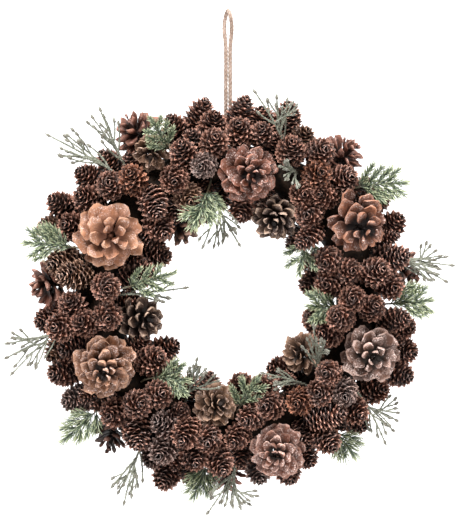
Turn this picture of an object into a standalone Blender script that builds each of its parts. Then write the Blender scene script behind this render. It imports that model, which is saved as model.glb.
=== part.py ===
# Pinecone wreath: a ring of twisted vine that carries small spruce cones, open pine cones,
# needle sprigs and sprays of budded twigs, and hangs from a jute loop.
#
# It is built in millimetres round the wreath's own centre, with x to the right, z up and y away
# from the viewer, and is turned into Blender's metres as each piece is finished. The world's origin
# is the point where a hook carries the loop.

import math

import bmesh
import bpy
import numpy as np
from mathutils import Matrix, Vector
from mathutils.bvhtree import BVHTree

# Units and the photograph's scale: one pixel of the 460 x 520 picture is one millimetre.
MM = 0.001
PHOTO_CENTRE = (228, 297)
MM_PER_PIXEL = 1.0

# The ring of three twisted vine stems, and where it hangs below the hook.
HOOK_TO_CENTRE = 286.0
RING_RADIUS = 131.0
VINE_CREST = 16.6
VINE_VALLEY = 11.5
VINE_STEMS = 3
VINE_TURNS = 6
RING_STATIONS = 30
RING_SIDES = 9

# The bed of hot glue on the vine, in one length for each cluster of small cones.
CLUSTERS = 12
BED_INSIDE = 19.0
BED_OUTSIDE = 23.2
BED_SPREAD = math.radians(112)
BED_STEPS_ROUND = 5
BED_STEPS_ALONG = 3
BED_END_GAP = 0.4
ROPE_GAP = 3.2

# How closely things are seated.
SEAT_GAP = 0.35
STEM_GAP = 0.6
CLEAR = 0.5
NEST = 6.0
SHARP_ANGLE = math.radians(50)
BACK_PLANE = 21.0
SETTLE_ROUNDS = 160
YIELD = (0.5, 1.0, 0.5)
PULL_HOME = 0.06

# The small spruce cones: their size, how high they lie on the bed, flat and upright, and their
# outline from root to tip.
SMALL_LENGTH = 47.0
SMALL_GIRTH = 30.0
LEAST_SLANT = 1.06
LIE_FLAT = 12.0
LIE_UPRIGHT = 8.0
SMALL_AROUND = 5
SMALL_ROWS = 4
SMALL_OUTLINE = (0.0, 0.88, 1.0, 0.68, 0.0)
SMALL_HEIGHTS = (0.0, 0.2, 0.5, 0.8, 1.0)
SMALL_VALLEY = 0.8
SMALL_ZIGZAG = 0.04
SMALL_STATIONS = (0.18, 0.36, 0.55, 0.73, 0.89)
SMALL_SHARES = (0.86, 0.98, 0.98, 0.84, 0.52)
SUNK_ROOT = 19.8
PEG_FOOT = 2.0
PEG_HEAD = 6.0
PEG_START = 0.35
ROOT_SPREAD = math.radians(88)
ROOT_MARGIN = 9.0

# The cones that are tucked upright into what gaps are left on the bed.
TUCKED_LENGTH = 37.0
TUCKED_LEAST = 19.0
TUCKED_STATIONS = (0.3, 0.55, 0.8)
TUCKED_SHARES = (0.9, 1.0, 0.72)
TUCK_TURNS = 144
TUCK_SECTIONS = 15
TUCK_SPREAD = math.radians(78)

# The jute loop.
ROPE = 3.6
ROPE_APART = 4.4
LOOP_BEND = 6.8
LOOP_TURN = math.radians(66)
LOOP_NECK = (2.2, 20.0)
LOOP_SHOULDER = 7.5
ROPE_DEPTH = 16.0
KNOT_HEIGHT = 147.0
ROPE_START = 152.95
ROPE_RISES = (0, 32, 64, 96)
ROPE_STEPS = 3
KNOT_RADII = (6.5, 5.0, 5.5)
KNOT_AROUND = 8
KNOT_ROWS = 6
HITCH_AROUND = 12
HITCH_SIDES = 6

# Large open pine cones: name, middle of the disc in the photograph, width, height, and how far the
# apex lies right of and above the middle of the disc.
LARGE_CONES = (
    ("upper_left", (110, 236), 73, 44, (4, 1)),
    ("top", (250, 175), 62, 48, (6, -3)),
    ("upper_right", (358, 224), 67, 50, (11, -10)),
    ("lower_left", (105, 367), 66, 48, (0, -8)),
    ("lower_right", (370, 354), 63, 47, (3, -4)),
    ("bottom", (277, 451), 59, 45, (-4, -4)),
)
LARGE_BASE_DEPTH = -26.0
LARGE_MIDDLE = 0.38
LARGE_LEAN_RISE = 0.3
LARGE_STATIONS = (0.3, 0.6)
LARGE_SHARES = (0.55, 0.5)
LARGE_AROUND = 7
LARGE_ROWS = 4
LARGE_SCALE = ((0.62, 0.98, 0.05), (1.0, 0.6, 0.065))
RIM_RINGS = ((0.33, 0.22), (0.33, 0.5), (0.2, 0.75))
RIM_BALLS = 10
RIM_BALL = 0.185
STALK_STATIONS = (0.0, 0.35, 0.7, 1.0)
STALK_BALLS = (9.0, 7.0, 5.0, 3.5)

# Middle-sized open cones: name, middle in the photograph, width, height, and how much the axis
# points right, up and away from the viewer.
OPEN_CONES = (
    ("top_left", (136, 132), 42, 38, (-0.62, 0.62, -0.35)),
    ("top_left_low", (147, 160), 36, 34, (-0.15, -0.45, -0.8)),
    ("inner_top_left", (177, 226), 38, 36, (0.15, -0.85, -0.3)),
    ("top_right", (336, 158), 46, 38, (0.6, 0.45, -0.5)),
    ("inner_top_right", (281, 215), 46, 36, (-0.1, -0.45, -0.85)),
    ("far_left", (48, 287), 42, 38, (-0.85, -0.15, -0.35)),
    ("inner_left", (136, 318), 46, 38, (0.55, 0.0, -0.75)),
    ("inner_bottom_left", (207, 402), 44, 38, (0.2, 0.3, -0.85)),
    ("far_right", (403, 271), 37, 36, (0.75, -0.45, -0.35)),
    ("inner_right", (311, 357), 42, 38, (-0.6, -0.1, -0.65)),
    ("bottom_left", (112, 435), 40, 36, (-0.15, -0.85, -0.2)),
    ("bottom", (225, 470), 42, 34, (0.1, -0.9, 0.1)),
)
OPEN_LIE = 0.48
OPEN_MIDDLE = 0.45
OPEN_STATIONS = (0.25, 0.48, 0.7)
OPEN_SHARES = (0.8, 0.98, 0.8)
OPEN_AROUND = 5
OPEN_ROWS = 3
OPEN_SCALE = ((1.0, 0.85, 0.08),)

# The scales of the large and the middle-sized cones, from base to apex: how far out they reach, in
# shares of the cone's radius, and their angle from the axis. The core's girth, start and span are
# shares of the cone's girth and height.
SCALE_REACH = (0.94, 1.0, 0.92, 0.74, 0.44)
SCALE_ANGLES = (103, 92, 80, 62, 36)
CORE_GIRTH = 0.11
CORE_TAPER = (0.9, 1.0, 1.0, 0.9, 0.6)
CORE_START = 0.04
CORE_SPAN = 0.84
SCALE_ROOM = 0.86
SCALE_WIDEST = 0.24

# Small cones, clockwise from the rope: where the tip shows in the photograph, and where the root
# lies behind it.
SMALL_CONES = (
    ((246, 101), (227, 134)),
    ((236, 140), (238, 152)),
    ((259, 111), (266, 142)),
    ((289, 106), (289, 142)),
    ((312, 131), (298, 154)),
    ((291, 151), (290, 160)),
    ((271, 139), (270, 160)),
    ((312, 159), (306, 164)),
    ((322, 180), (316, 182)),
    ((344, 184), (332, 190)),
    ((303, 184), (304, 190)),
    ((313, 204), (316, 204)),
    ((242, 216), (236, 190)),
    ((318, 225), (322, 222)),
    ((388, 200), (362, 206)),
    ((401, 215), (378, 236)),
    ((331, 257), (340, 252)),
    ((307, 240), (328, 232)),
    ((396, 251), (370, 259)),
    ((380, 262), (370, 260)),
    ((362, 276), (356, 274)),
    ((385, 285), (373, 284)),
    ((303, 288), (326, 276)),
    ((333, 286), (342, 284)),
    ((354, 297), (352, 300)),
    ((399, 312), (372, 308)),
    ((341, 322), (350, 318)),
    ((366, 314), (362, 314)),
    ((306, 323), (326, 330)),
    ((319, 342), (334, 346)),
    ((409, 329), (384, 328)),
    ((414, 355), (388, 346)),
    ((404, 381), (378, 372)),
    ((336, 372), (342, 366)),
    ((312, 388), (322, 386)),
    ((341, 393), (342, 388)),
    ((380, 386), (356, 378)),
    ((362, 405), (352, 394)),
    ((276, 369), (302, 382)),
    ((300, 398), (308, 396)),
    ((364, 425), (340, 410)),
    ((338, 404), (302, 428)),
    ((330, 444), (318, 424)),
    ((308, 447), (308, 428)),
    ((268, 387), (280, 398)),
    ((263, 412), (288, 402)),
    ((300, 466), (292, 440)),
    ((234, 383), (240, 400)),
    ((233, 425), (258, 412)),
    ((243, 451), (244, 438)),
    ((217, 434), (222, 428)),
    ((252, 480), (248, 452)),
    ((230, 460), (226, 440)),
    ((204, 459), (200, 440)),
    ((188, 487), (182, 452)),
    ((190, 443), (186, 430)),
    ((158, 474), (166, 450)),
    ((150, 411), (176, 424)),
    ((158, 451), (164, 440)),
    ((146, 466), (152, 438)),
    ((165, 392), (172, 404)),
    ((142, 447), (140, 410)),
    ((140, 388), (136, 398)),
    ((110, 409), (122, 402)),
    ((62, 400), (90, 392)),
    ((51, 374), (76, 372)),
    ((160, 357), (140, 366)),
    ((177, 341), (141, 350)),
    ((50, 360), (80, 326)),
    ((36, 318), (66, 314)),
    ((64, 320), (74, 318)),
    ((98, 334), (100, 326)),
    ((101, 315), (100, 310)),
    ((71, 302), (82, 300)),
    ((108, 296), (106, 294)),
    ((137, 274), (106, 276)),
    ((64, 281), (96, 272)),
    ((54, 261), (82, 256)),
    ((170, 257), (140, 252)),
    ((160, 234), (146, 214)),
    ((46, 224), (70, 232)),
    ((66, 225), (78, 226)),
    ((153, 222), (144, 196)),
    ((55, 198), (82, 218)),
    ((76, 201), (92, 208)),
    ((80, 176), (108, 192)),
    ((117, 195), (122, 200)),
    ((97, 158), (114, 186)),
    ((129, 171), (134, 184)),
    ((174, 181), (164, 178)),
    ((190, 201), (184, 190)),
    ((186, 148), (194, 172)),
    ((206, 170), (204, 162)),
    ((174, 115), (192, 144)),
    ((207, 103), (190, 138)),
    ((222, 141), (218, 152)),
    ((220, 114), (214, 140)),
)

# Needle sprigs: name, where the stem comes out of the cones, its tip, how far forward the tip
# lies, and the needles' length.
NEEDLE_SPRIGS = (
    ("top_left", (171, 151), (152, 121), -70, 14),
    ("upper_left", (80, 247), (28, 243), -34, 18),
    ("inner_top", (212, 182), (196, 222), -72, 20),
    ("upper_right", (351, 184), (404, 183), -34, 17),
    ("inner_upper_right", (306, 233), (299, 272), -52, 17),
    ("inner_left", (122, 291), (174, 273), -58, 14),
    ("inner_lower_left", (149, 374), (186, 379), -58, 18),
    ("inner_right", (341, 306), (310, 306), -52, 17),
    ("right", (389, 305), (428, 300), -38, 17),
    ("inner_bottom", (235, 411), (257, 378), -60, 15),
    ("bottom_right", (338, 436), (352, 452), -16, 17),
    ("bottom_left", (92, 416), (66, 438), -16, 16),
    ("bottom", (207, 472), (195, 494), -12, 16),
)
NEEDLE_STEM = 1.1
NEEDLE_BASE = 1.5
NEEDLE_WHORLS = 6
NEEDLE_LEAN = math.radians(40)
NEEDLE_REACHES = (1.0, 0.75, 0.5)
NEEDLE_CHECKS = (0.2, 0.35, 0.5, 0.65, 0.8, 1.0)
NEEDLE_ROOM = 1.0
WHORL_APART = 4.6
WHORL_SHARE = 0.085
WHORLS_END = 2.0
WHORLS_START = 0.35
STEM_STEPS = 7
STEM_REACH = 50.0
STEM_LEAN = 0.9
STEM_DEPTH = 0.8

# Sprays of budded twigs: name, where the stems come out of the cones, how far forward the tips
# lie, and the tips.
BUD_SPRAYS = (
    ("left_of_top", (113, 168), -30, ((44, 133), (64, 132), (57, 147), (65, 156), (80, 137))),
    ("top_left", (121, 162), -44, ((101, 134), (90, 114), (99, 106))),
    ("inner_top", (214, 204), -36, ((201, 251), (213, 251), (224, 243), (237, 233), (242, 249))),
    ("top_right", (291, 144), -58, ((252, 89), (276, 94), (294, 101), (298, 110))),
    ("upper_right", (299, 170), -76, ((284, 160), (277, 167), (284, 182), (297, 190))),
    ("right", (395, 250), -30, ((427, 238), (445, 255), (457, 266), (443, 270), (450, 284), (431, 283))),
    ("inner_left", (126, 296), -48, ((191, 287), (173, 298), (161, 302))),
    ("left", (60, 322), -24, ((9, 330), (3, 344), (2, 360), (9, 377), (29, 368))),
    ("inner_lower_left", (190, 392), -70, ((198, 355), (194, 362), (208, 366), (222, 379))),
    ("inner_right", (319, 376), -76, ((312, 321), (305, 335), (320, 336), (330, 350))),
    ("inner_bottom", (303, 381), -66, ((258, 371), (271, 385))),
    ("bottom_right", (366, 397), -24, ((399, 395), (403, 413), (397, 434), (387, 447))),
    ("bottom_left", (135, 451), -18, ((110, 488), (116, 497), (123, 508), (132, 493), (140, 480))),
    ("bottom", (243, 464), -40, ((205, 516), (218, 506), (233, 510), (242, 511), (252, 502), (262, 496))),
)
TWIG = 0.9
TWIG_END = 0.8
TWIG_FAN = 3.0
SPRAY_STEPS = 5
SPRAY_RADII = (1.2, 1.2, 1.2, 1.0, 0.8)
BUD = 2.1
BUD_LENGTH = 5.0
BUD_BELLY = 0.55
BUD_SHOULDER = 0.35
BEAD_MARGIN = 0.6

COLOURS = {
    "vine": ((0.10, 0.055, 0.03), 0.85),
    "jute": ((0.52, 0.37, 0.23), 0.95),
    "spruce_cone": ((0.12, 0.06, 0.035), 0.7),
    "pine_cone": ((0.36, 0.19, 0.10), 0.65),
    "dark_pine_cone": ((0.20, 0.10, 0.06), 0.7),
    "needles": ((0.16, 0.24, 0.14), 0.75),
    "budded_twig": ((0.27, 0.29, 0.21), 0.85),
}


def spot(pixel, depth=0.0):
    """A point of the photograph, as millimetres from the wreath's centre."""
    x = (pixel[0] - PHOTO_CENTRE[0]) * MM_PER_PIXEL
    z = (PHOTO_CENTRE[1] - pixel[1]) * MM_PER_PIXEL
    return np.array((x, depth, z))


def off_ring(points):
    """For points: the nearest point of the ring's centre line, and the distance to it."""
    flat = points * (1, 0, 1)
    centre = flat / np.maximum(np.linalg.norm(flat, axis=-1, keepdims=True), 1e-9) * RING_RADIUS
    return centre, np.linalg.norm(points - centre, axis=-1)


def bed_surface():
    """The surface of the whole bed of glue, to seat things on."""
    whole = bmesh.new()
    for cluster in range(CLUSTERS):
        bed = bed_mesh(cluster)
        mesh = bpy.data.meshes.new("bed")
        bed.to_mesh(mesh)
        bed.free()
        whole.from_mesh(mesh)
        bpy.data.meshes.remove(mesh)
    surface = BVHTree.FromBMesh(whole)
    whole.free()
    return surface


def seat(point, surface, gap):
    """The point this far off the bed's surface that is nearest to the given point."""
    nearest = np.array(surface.find_nearest(Vector(point))[0])
    return nearest + (point - nearest) * gap / np.linalg.norm(point - nearest)


def clock(point):
    """The angle clockwise from the top of the wreath."""
    return math.atan2(point[0], point[2]) % math.tau


class Cone:
    """A cone of any kind: its root, its tip, its girth and the balls that stand for its bulk."""

    def __init__(self, node, root, tip, girth, stations, shares):
        self.node = node
        self.root = root
        self.tip = tip
        self.length = float(np.linalg.norm(tip - root))
        self.girth = girth
        self.stations = np.array(stations)
        self.shares = np.array(shares)

    def balls(self):
        """Centres and radii of the balls along the axis."""
        centres = self.root + self.stations[:, None] * (self.tip - self.root)
        return centres, self.girth / 2 * self.shares


def small_cone(tip_pixel, root_pixel):
    """A small cone laid over the ring: it stands out of the picture by what its length has over."""
    tip, root = spot(tip_pixel), spot(root_pixel)
    slope = tip - root
    seen = np.linalg.norm(slope)
    length = max(SMALL_LENGTH, seen * LEAST_SLANT)
    rise = math.sqrt(length**2 - seen**2)
    middle = (tip + root) / 2
    across = np.linalg.norm(middle) - RING_RADIUS
    lie = BED_OUTSIDE + LIE_FLAT + LIE_UPRIGHT * rise / length
    depth = -math.sqrt(max(lie**2 - across**2, 1.0))
    tip[1], root[1] = depth - rise / 2, depth + rise / 2
    cluster = int(clock(middle) / math.tau * CLUSTERS)
    return Cone(cluster, root, tip, SMALL_GIRTH, SMALL_STATIONS, SMALL_SHARES)


def open_cone(order, pixel, girth, height, direction):
    """A middle-sized cone, lying so that its own middle shows at this point of the photograph."""
    axis = np.array((direction[0], direction[2], direction[1]))
    axis = axis / np.linalg.norm(axis)
    middle = spot(pixel)
    across = np.linalg.norm(middle) - RING_RADIUS
    lie = BED_OUTSIDE + girth * OPEN_LIE
    middle[1] = -math.sqrt(max(lie**2 - across**2, 1.0))
    root = middle - axis * height * OPEN_MIDDLE
    return Cone(CLUSTERS + order, root, root + axis * height, girth, OPEN_STATIONS, OPEN_SHARES)


def large_cone(pixel, girth, height, apex):
    """A large cone, whose open face looks at the viewer and leans towards its apex."""
    lean_x, lean_z = apex[0] / (height / 2), apex[1] / (height / 2)
    axis = np.array((lean_x, -math.sqrt(1 - lean_x**2 - lean_z**2), lean_z))
    root = spot(pixel) - axis * height * LARGE_MIDDLE
    root[1] = LARGE_BASE_DEPTH - LARGE_LEAN_RISE * girth * math.hypot(lean_x, lean_z)
    return Cone(None, root, root + axis * height, girth, LARGE_STATIONS, LARGE_SHARES)


def rim_balls(cone, surface):
    """The balls that stand for a large cone: its middle, and a circle of them under its rim."""
    axis = (cone.tip - cone.root) / cone.length
    side = np.cross(axis, (0, 0, 1))
    side = side / np.linalg.norm(side)
    up = np.cross(side, axis)
    centres, radii = cone.balls()
    for out, height in RIM_RINGS:
        for k in range(RIM_BALLS):
            turn = k * math.tau / RIM_BALLS
            sideways = math.cos(turn) * side + math.sin(turn) * up
            centre = cone.root + axis * cone.length * height + sideways * cone.girth * out
            centres = np.vstack((centres, centre))
            radii = np.append(radii, cone.girth * RIM_BALL)
    foot = seat(cone.root, surface, SEAT_GAP)
    stalk = [cone.root + (foot - cone.root) * share for share in STALK_STATIONS]
    return np.vstack((centres, stalk)), np.append(radii, STALK_BALLS)


def stem_path(root_pixel, tip_pixel, depth, steps, surface):
    """A stem that leaves the glue bed, comes out between the cones at one spot, and ends at another."""
    out = spot(root_pixel)
    tip = spot(tip_pixel, depth)
    across = np.linalg.norm(out) - RING_RADIUS
    lean = max(-STEM_LEAN, min(STEM_LEAN, across / STEM_REACH))
    out[1] = -STEM_REACH * math.sqrt(1 - lean**2) * STEM_DEPTH
    start = seat(out, surface, STEM_GAP)
    shares = np.linspace(0, 1, steps)[:, None]
    return (1 - shares) ** 2 * start + 2 * shares * (1 - shares) * out + shares**2 * tip


def beads(path, radius):
    """Balls along a stem, as an obstacle."""
    fine = []
    for a, b in zip(path[:-1], path[1:]):
        count = max(2, int(np.linalg.norm(b - a) / radius))
        fine += [a + (b - a) * k / count for k in range(count)]
    fine.append(path[-1])
    return np.array(fine), np.full(len(fine), radius)


def settle(cones, walls, wall_radii):
    """Pushes the cones off each other, off the stems and off the ring, as a maker's hands would."""
    count = np.array([len(c.stations) for c in cones])
    owner = np.repeat(np.arange(len(cones)), count)
    along = np.concatenate([c.stations for c in cones])
    radius = np.concatenate([c.balls()[1] for c in cones])
    node = np.array([c.node for c in cones])[owner]
    length = np.array([c.length for c in cones])
    root = np.array([c.root for c in cones])
    tip = np.array([c.tip for c in cones])
    root_home, tip_home = root.copy(), tip.copy()
    nested = node[:, None] == node[None, :]
    want = radius[:, None] + radius[None, :] + np.where(nested, -NEST, CLEAR)
    want[owner[:, None] == owner[None, :]] = -1.0
    wall_want = radius[:, None] + wall_radii[None, :] + CLEAR
    small = node < CLUSTERS
    floor = np.where(small, BED_INSIDE + radius + CLEAR, BED_OUTSIDE + radius + CLEAR)
    width = math.tau / CLUSTERS
    for done in range(SETTLE_ROUNDS):
        pull = PULL_HOME * max(0.0, 1 - 1.5 * done / SETTLE_ROUNDS)
        ball = root[owner] + along[:, None] * (tip - root)[owner]
        apart = ball[:, None] - ball[None, :]
        distance = np.linalg.norm(apart, axis=2) + 1e-9
        press = np.maximum(want - distance, 0) * 0.5
        push = (apart / distance[..., None] * press[..., None]).sum(axis=1)
        touches = (press > 0).sum(axis=1)
        apart = ball[:, None] - walls[None, :]
        distance = np.linalg.norm(apart, axis=2) + 1e-9
        press = np.maximum(wall_want - distance, 0)
        push += (apart / distance[..., None] * press[..., None]).sum(axis=1)
        touches += (press > 0).sum(axis=1)
        centre, distance = off_ring(ball)
        press = np.maximum(floor - distance, 0)
        push += (ball - centre) / distance[:, None] * press[:, None]
        touches += press > 0
        press = np.maximum(ball[:, 1] + radius - BACK_PLANE, 0)
        push[:, 1] -= press
        touches += press > 0
        push *= YIELD
        low = distance < BED_OUTSIDE + radius + CLEAR
        for side in (0, 1):
            edge = (node + side) * width
            normal = np.stack((np.cos(edge), 0 * edge, -np.sin(edge)), axis=1) * (1 - 2 * side)
            inside = (ball * normal).sum(axis=1)
            press = np.where(small & low, np.maximum(radius + CLEAR - inside, 0), 0)
            push += normal * press[:, None]
            touches += press > 0
        push = push / np.maximum(touches, 1)[:, None]
        root = root + (root_home - root) * pull
        tip = tip + (tip_home - tip) * pull
        np.add.at(root, owner, push * (1 - along)[:, None])
        np.add.at(tip, owner, push * along[:, None])
        middle, slope = (root + tip) / 2, tip - root
        slope = slope / np.linalg.norm(slope, axis=1, keepdims=True) * length[:, None] / 2
        root, tip = middle - slope, middle + slope
    for cone, r, t in zip(cones, root, tip):
        cone.root, cone.tip = r, t


def slim(cones, walls, wall_radii):
    """Slims each cone that still presses on something outside its own cluster."""
    boxes = [c.balls() for c in cones]
    share = np.ones(len(cones))
    for i, (centres, radii) in enumerate(boxes):
        distance = np.linalg.norm(centres[:, None] - walls[None, :], axis=2)
        share[i] = min(share[i], ((distance - CLEAR - wall_radii[None, :]) / radii[:, None]).min())
        for j, (others, more) in enumerate(boxes):
            if i != j and cones[i].node != cones[j].node:
                distance = np.linalg.norm(centres[:, None] - others[None, :], axis=2)
                share[i] = min(share[i], ((distance - CLEAR) / (radii[:, None] + more[None, :])).min())
    for cone, s in zip(cones, share):
        cone.girth *= s


def tuck(cones, walls, wall_radii):
    """Small cones that stand upright on the bed wherever there is still room for one, widest first."""
    turn = np.arange(TUCK_TURNS) * math.tau / TUCK_TURNS
    section = np.linspace(-TUCK_SPREAD, TUCK_SPREAD, TUCK_SECTIONS)
    turn, section = (grid.ravel() for grid in np.meshgrid(turn, section))
    outward = np.stack((np.sin(turn), 0 * turn, np.cos(turn)), axis=1)
    normal = outward * np.sin(section)[:, None] - np.cos(section)[:, None] * (0, 1, 0)
    root = outward * RING_RADIUS + normal * SUNK_ROOT
    cluster = (turn / math.tau * CLUSTERS).astype(int)
    shares = np.array(TUCKED_SHARES)
    balls = root[:, None] + normal[:, None] * (np.array(TUCKED_STATIONS) * TUCKED_LENGTH)[:, None]
    from_edge = np.abs((turn * CLUSTERS / math.tau) % 1.0 - np.array(((0.0,), (1.0,)))).min(axis=0)
    beside = np.sin(from_edge * math.tau / CLUSTERS) * np.hypot(balls[:, 0, 0], balls[:, 0, 2]) - CLEAR
    behind = (BACK_PLANE - balls[:, :, 1]) / shares
    girth = 2 * np.minimum(np.minimum(beside / shares[0], behind.min(axis=1)), SMALL_GIRTH / 2)

    def room(points, radii, margins):
        """The girth that each place has room for beside these balls."""
        distance = np.linalg.norm(balls[:, :, None] - points[None, None], axis=3)
        return 2 * ((distance - radii - margins) / shares[:, None]).min(axis=(1, 2))

    girth = np.minimum(girth, room(walls, wall_radii, CLEAR))
    for cone in cones:
        margins = np.where(cluster == cone.node, -NEST, CLEAR)[:, None, None]
        girth = np.minimum(girth, room(*cone.balls(), margins))
    tucked = []
    while girth.max() > TUCKED_LEAST:
        best = int(girth.argmax())
        tip = root[best] + normal[best] * TUCKED_LENGTH
        cone = Cone(int(cluster[best]), root[best], tip, girth[best], TUCKED_STATIONS, shares)
        margins = np.where(cluster == cone.node, -NEST, CLEAR)[:, None, None]
        girth = np.minimum(girth, room(*cone.balls(), margins))
        tucked.append(cone)
    return tucked


def standing(cone):
    """The matrix that stands local +z along the cone's axis, from its root."""
    axis = Vector(cone.tip - cone.root)
    turn = axis.to_track_quat("Z", "Y").to_matrix().to_4x4()
    return Matrix.Translation(Vector(cone.root)) @ turn


def level_of(vertex, levels):
    """Which ring of a unit sphere a vertex is on, counted from the bottom, and its azimuth."""
    polar = math.acos(max(-1.0, min(1.0, -vertex.co.z)))
    return round(polar / math.pi * levels), math.atan2(vertex.co.y, vertex.co.x)


def between(share, values):
    """Reads a row of evenly spaced values at a share from 0 to 1."""
    return float(np.interp(share, np.linspace(0, 1, len(values)), values))


def root_in_bed(cone):
    """The point of its own glue bed that is nearest to a small cone's root."""
    middle = (cone.node + 0.5) * math.tau / CLUSTERS
    half = math.pi / CLUSTERS - ROOT_MARGIN / RING_RADIUS
    swing = (clock(cone.root) - middle + math.pi) % math.tau - math.pi
    turn = middle + max(-half, min(half, swing))
    across = math.hypot(cone.root[0], cone.root[2]) - RING_RADIUS
    section = math.atan2(across, -cone.root[1])
    section = max(-ROOT_SPREAD, min(ROOT_SPREAD, section))
    out = RING_RADIUS + SUNK_ROOT * math.sin(section)
    return Vector((out * math.sin(turn), -SUNK_ROOT * math.cos(section), out * math.cos(turn)))


def small_cone_meshes(cone):
    """A spruce cone: a sphere drawn out to the cone's outline, with every other vertex raised.

    Its root reaches down into the bed, by itself or, where it lies across the bed, by a short peg.
    """
    bm = bmesh.new()
    bmesh.ops.create_uvsphere(bm, u_segments=SMALL_AROUND, v_segments=SMALL_ROWS, radius=1.0)
    place = standing(cone)
    for v in bm.verts:
        level, azimuth = level_of(v, SMALL_ROWS)
        column = round(azimuth / math.tau * SMALL_AROUND)
        raised = (level + column) % 2 == 0
        radius = cone.girth / 2 * SMALL_OUTLINE[level] * (1.0 if raised else SMALL_VALLEY)
        lift = SMALL_ZIGZAG if raised else -SMALL_ZIGZAG
        up = cone.length * (SMALL_HEIGHTS[level] + (lift if 0 < level < SMALL_ROWS else 0))
        v.co = place @ Vector((radius * math.cos(azimuth), radius * math.sin(azimuth), up))
        if level == 0:
            pole = v
    foot = root_in_bed(cone)
    if (place.inverted() @ foot).z < 0:
        pole.co = foot
        return [bm]
    return [bm, peg_mesh(Vector(cone.root + (cone.tip - cone.root) * PEG_START), foot)]


def peg_mesh(start, end):
    """A short four-sided peg that tapers to its foot."""
    bm = bmesh.new()
    length = (end - start).length
    bmesh.ops.create_cone(bm, cap_ends=True, segments=4, radius1=PEG_HEAD, radius2=PEG_FOOT, depth=length)
    turn = (end - start).to_track_quat("Z", "Y").to_matrix().to_4x4()
    bm.transform(Matrix.Translation((start + end) / 2) @ turn)
    return bm


def scale_corners(face, azimuth, out, rise, width, thick, diverge):
    """Sets a face's corners as the cross-section of a scale, this far out and up from the axis."""
    radial = Vector((math.cos(azimuth), math.sin(azimuth), 0))
    across = Vector((-math.sin(azimuth), math.cos(azimuth), 0))
    along = radial * math.sin(diverge) + Vector((0, 0, math.cos(diverge)))
    normal = across.cross(along)
    centre = face.calc_center_median()
    middle = radial * out + Vector((0, 0, rise))
    for v in face.verts:
        side = math.copysign(1, (v.co - centre).dot(across))
        upper = math.copysign(1, (v.co - centre).z)
        v.co = middle + across * side * width / 2 - normal * upper * thick / 2


def pine_cone_mesh(cone, around, rows, steps, surface):
    """An open pine cone: a slim core whose every face is drawn out into a scale."""
    bm = bmesh.new()
    levels = rows + 2
    bmesh.ops.create_uvsphere(bm, u_segments=around, v_segments=levels, radius=1.0)
    core = cone.girth * CORE_GIRTH
    for v in bm.verts:
        level, azimuth = level_of(v, levels)
        azimuth += level * math.pi / around
        share = level / levels
        radius = 0.0 if level in (0, levels) else core * between(share, CORE_TAPER)
        height = cone.length * (CORE_START + CORE_SPAN * share) if level else 0.0
        v.co = Vector((radius * math.cos(azimuth), radius * math.sin(azimuth), height))
    for face in [f for f in bm.faces if len(f.verts) == 4]:
        centre = face.calc_center_median()
        row = round((centre.z / cone.length - CORE_START) / CORE_SPAN * levels - 1.5)
        share = row / (rows - 1)
        azimuth = math.atan2(centre.y, centre.x)
        angle = math.radians(between(share, SCALE_ANGLES))
        out = cone.girth / 2 * between(share, SCALE_REACH)
        slant = (out - core) / math.tan(angle)
        width = min(out * math.tau / around * SCALE_ROOM, cone.girth * SCALE_WIDEST)
        for share_out, wide, thick in steps if row else steps[-1:]:
            face = bmesh.ops.extrude_discrete_faces(bm, faces=[face])["faces"][0]
            rise = centre.z + slant * share_out
            reach = core + (out - core) * share_out
            scale_corners(face, azimuth, reach, rise, width * wide, cone.girth * thick, angle)
    place = standing(cone)
    bm.transform(place)
    poles = [v for v in bm.verts if all(len(f.verts) == 3 for f in v.link_faces)]
    base = min(poles, key=lambda v: (v.co - Vector(cone.root)).length)
    base.co = seat(np.array(base.co), surface, SEAT_GAP)
    return bm


def tube_mesh(points, radii, tilts=None, resolution=0):
    """A tube through these points as a closed mesh, from a curve object that is removed again."""
    curve = bpy.data.curves.new("tube", "CURVE")
    curve.dimensions = "3D"
    curve.bevel_depth = 1.0
    curve.bevel_resolution = resolution
    curve.use_fill_caps = True
    spline = curve.splines.new("POLY")
    spline.points.add(len(points) - 1)
    for k, (point, radius) in enumerate(zip(points, radii)):
        spline.points[k].co = (*point, 1)
        spline.points[k].radius = radius
        spline.points[k].tilt = tilts[k] if tilts else 0.0
    guide = bpy.data.objects.new("tube", curve)
    bpy.context.scene.collection.objects.link(guide)
    mesh = bpy.data.meshes.new_from_object(guide.evaluated_get(bpy.context.evaluated_depsgraph_get()))
    bm = bmesh.new()
    bm.from_mesh(mesh)
    bpy.data.objects.remove(guide)
    bpy.data.meshes.remove(mesh)
    bmesh.ops.remove_doubles(bm, verts=bm.verts, dist=0.001)
    bmesh.ops.recalc_face_normals(bm, faces=bm.faces)
    return bm


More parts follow.
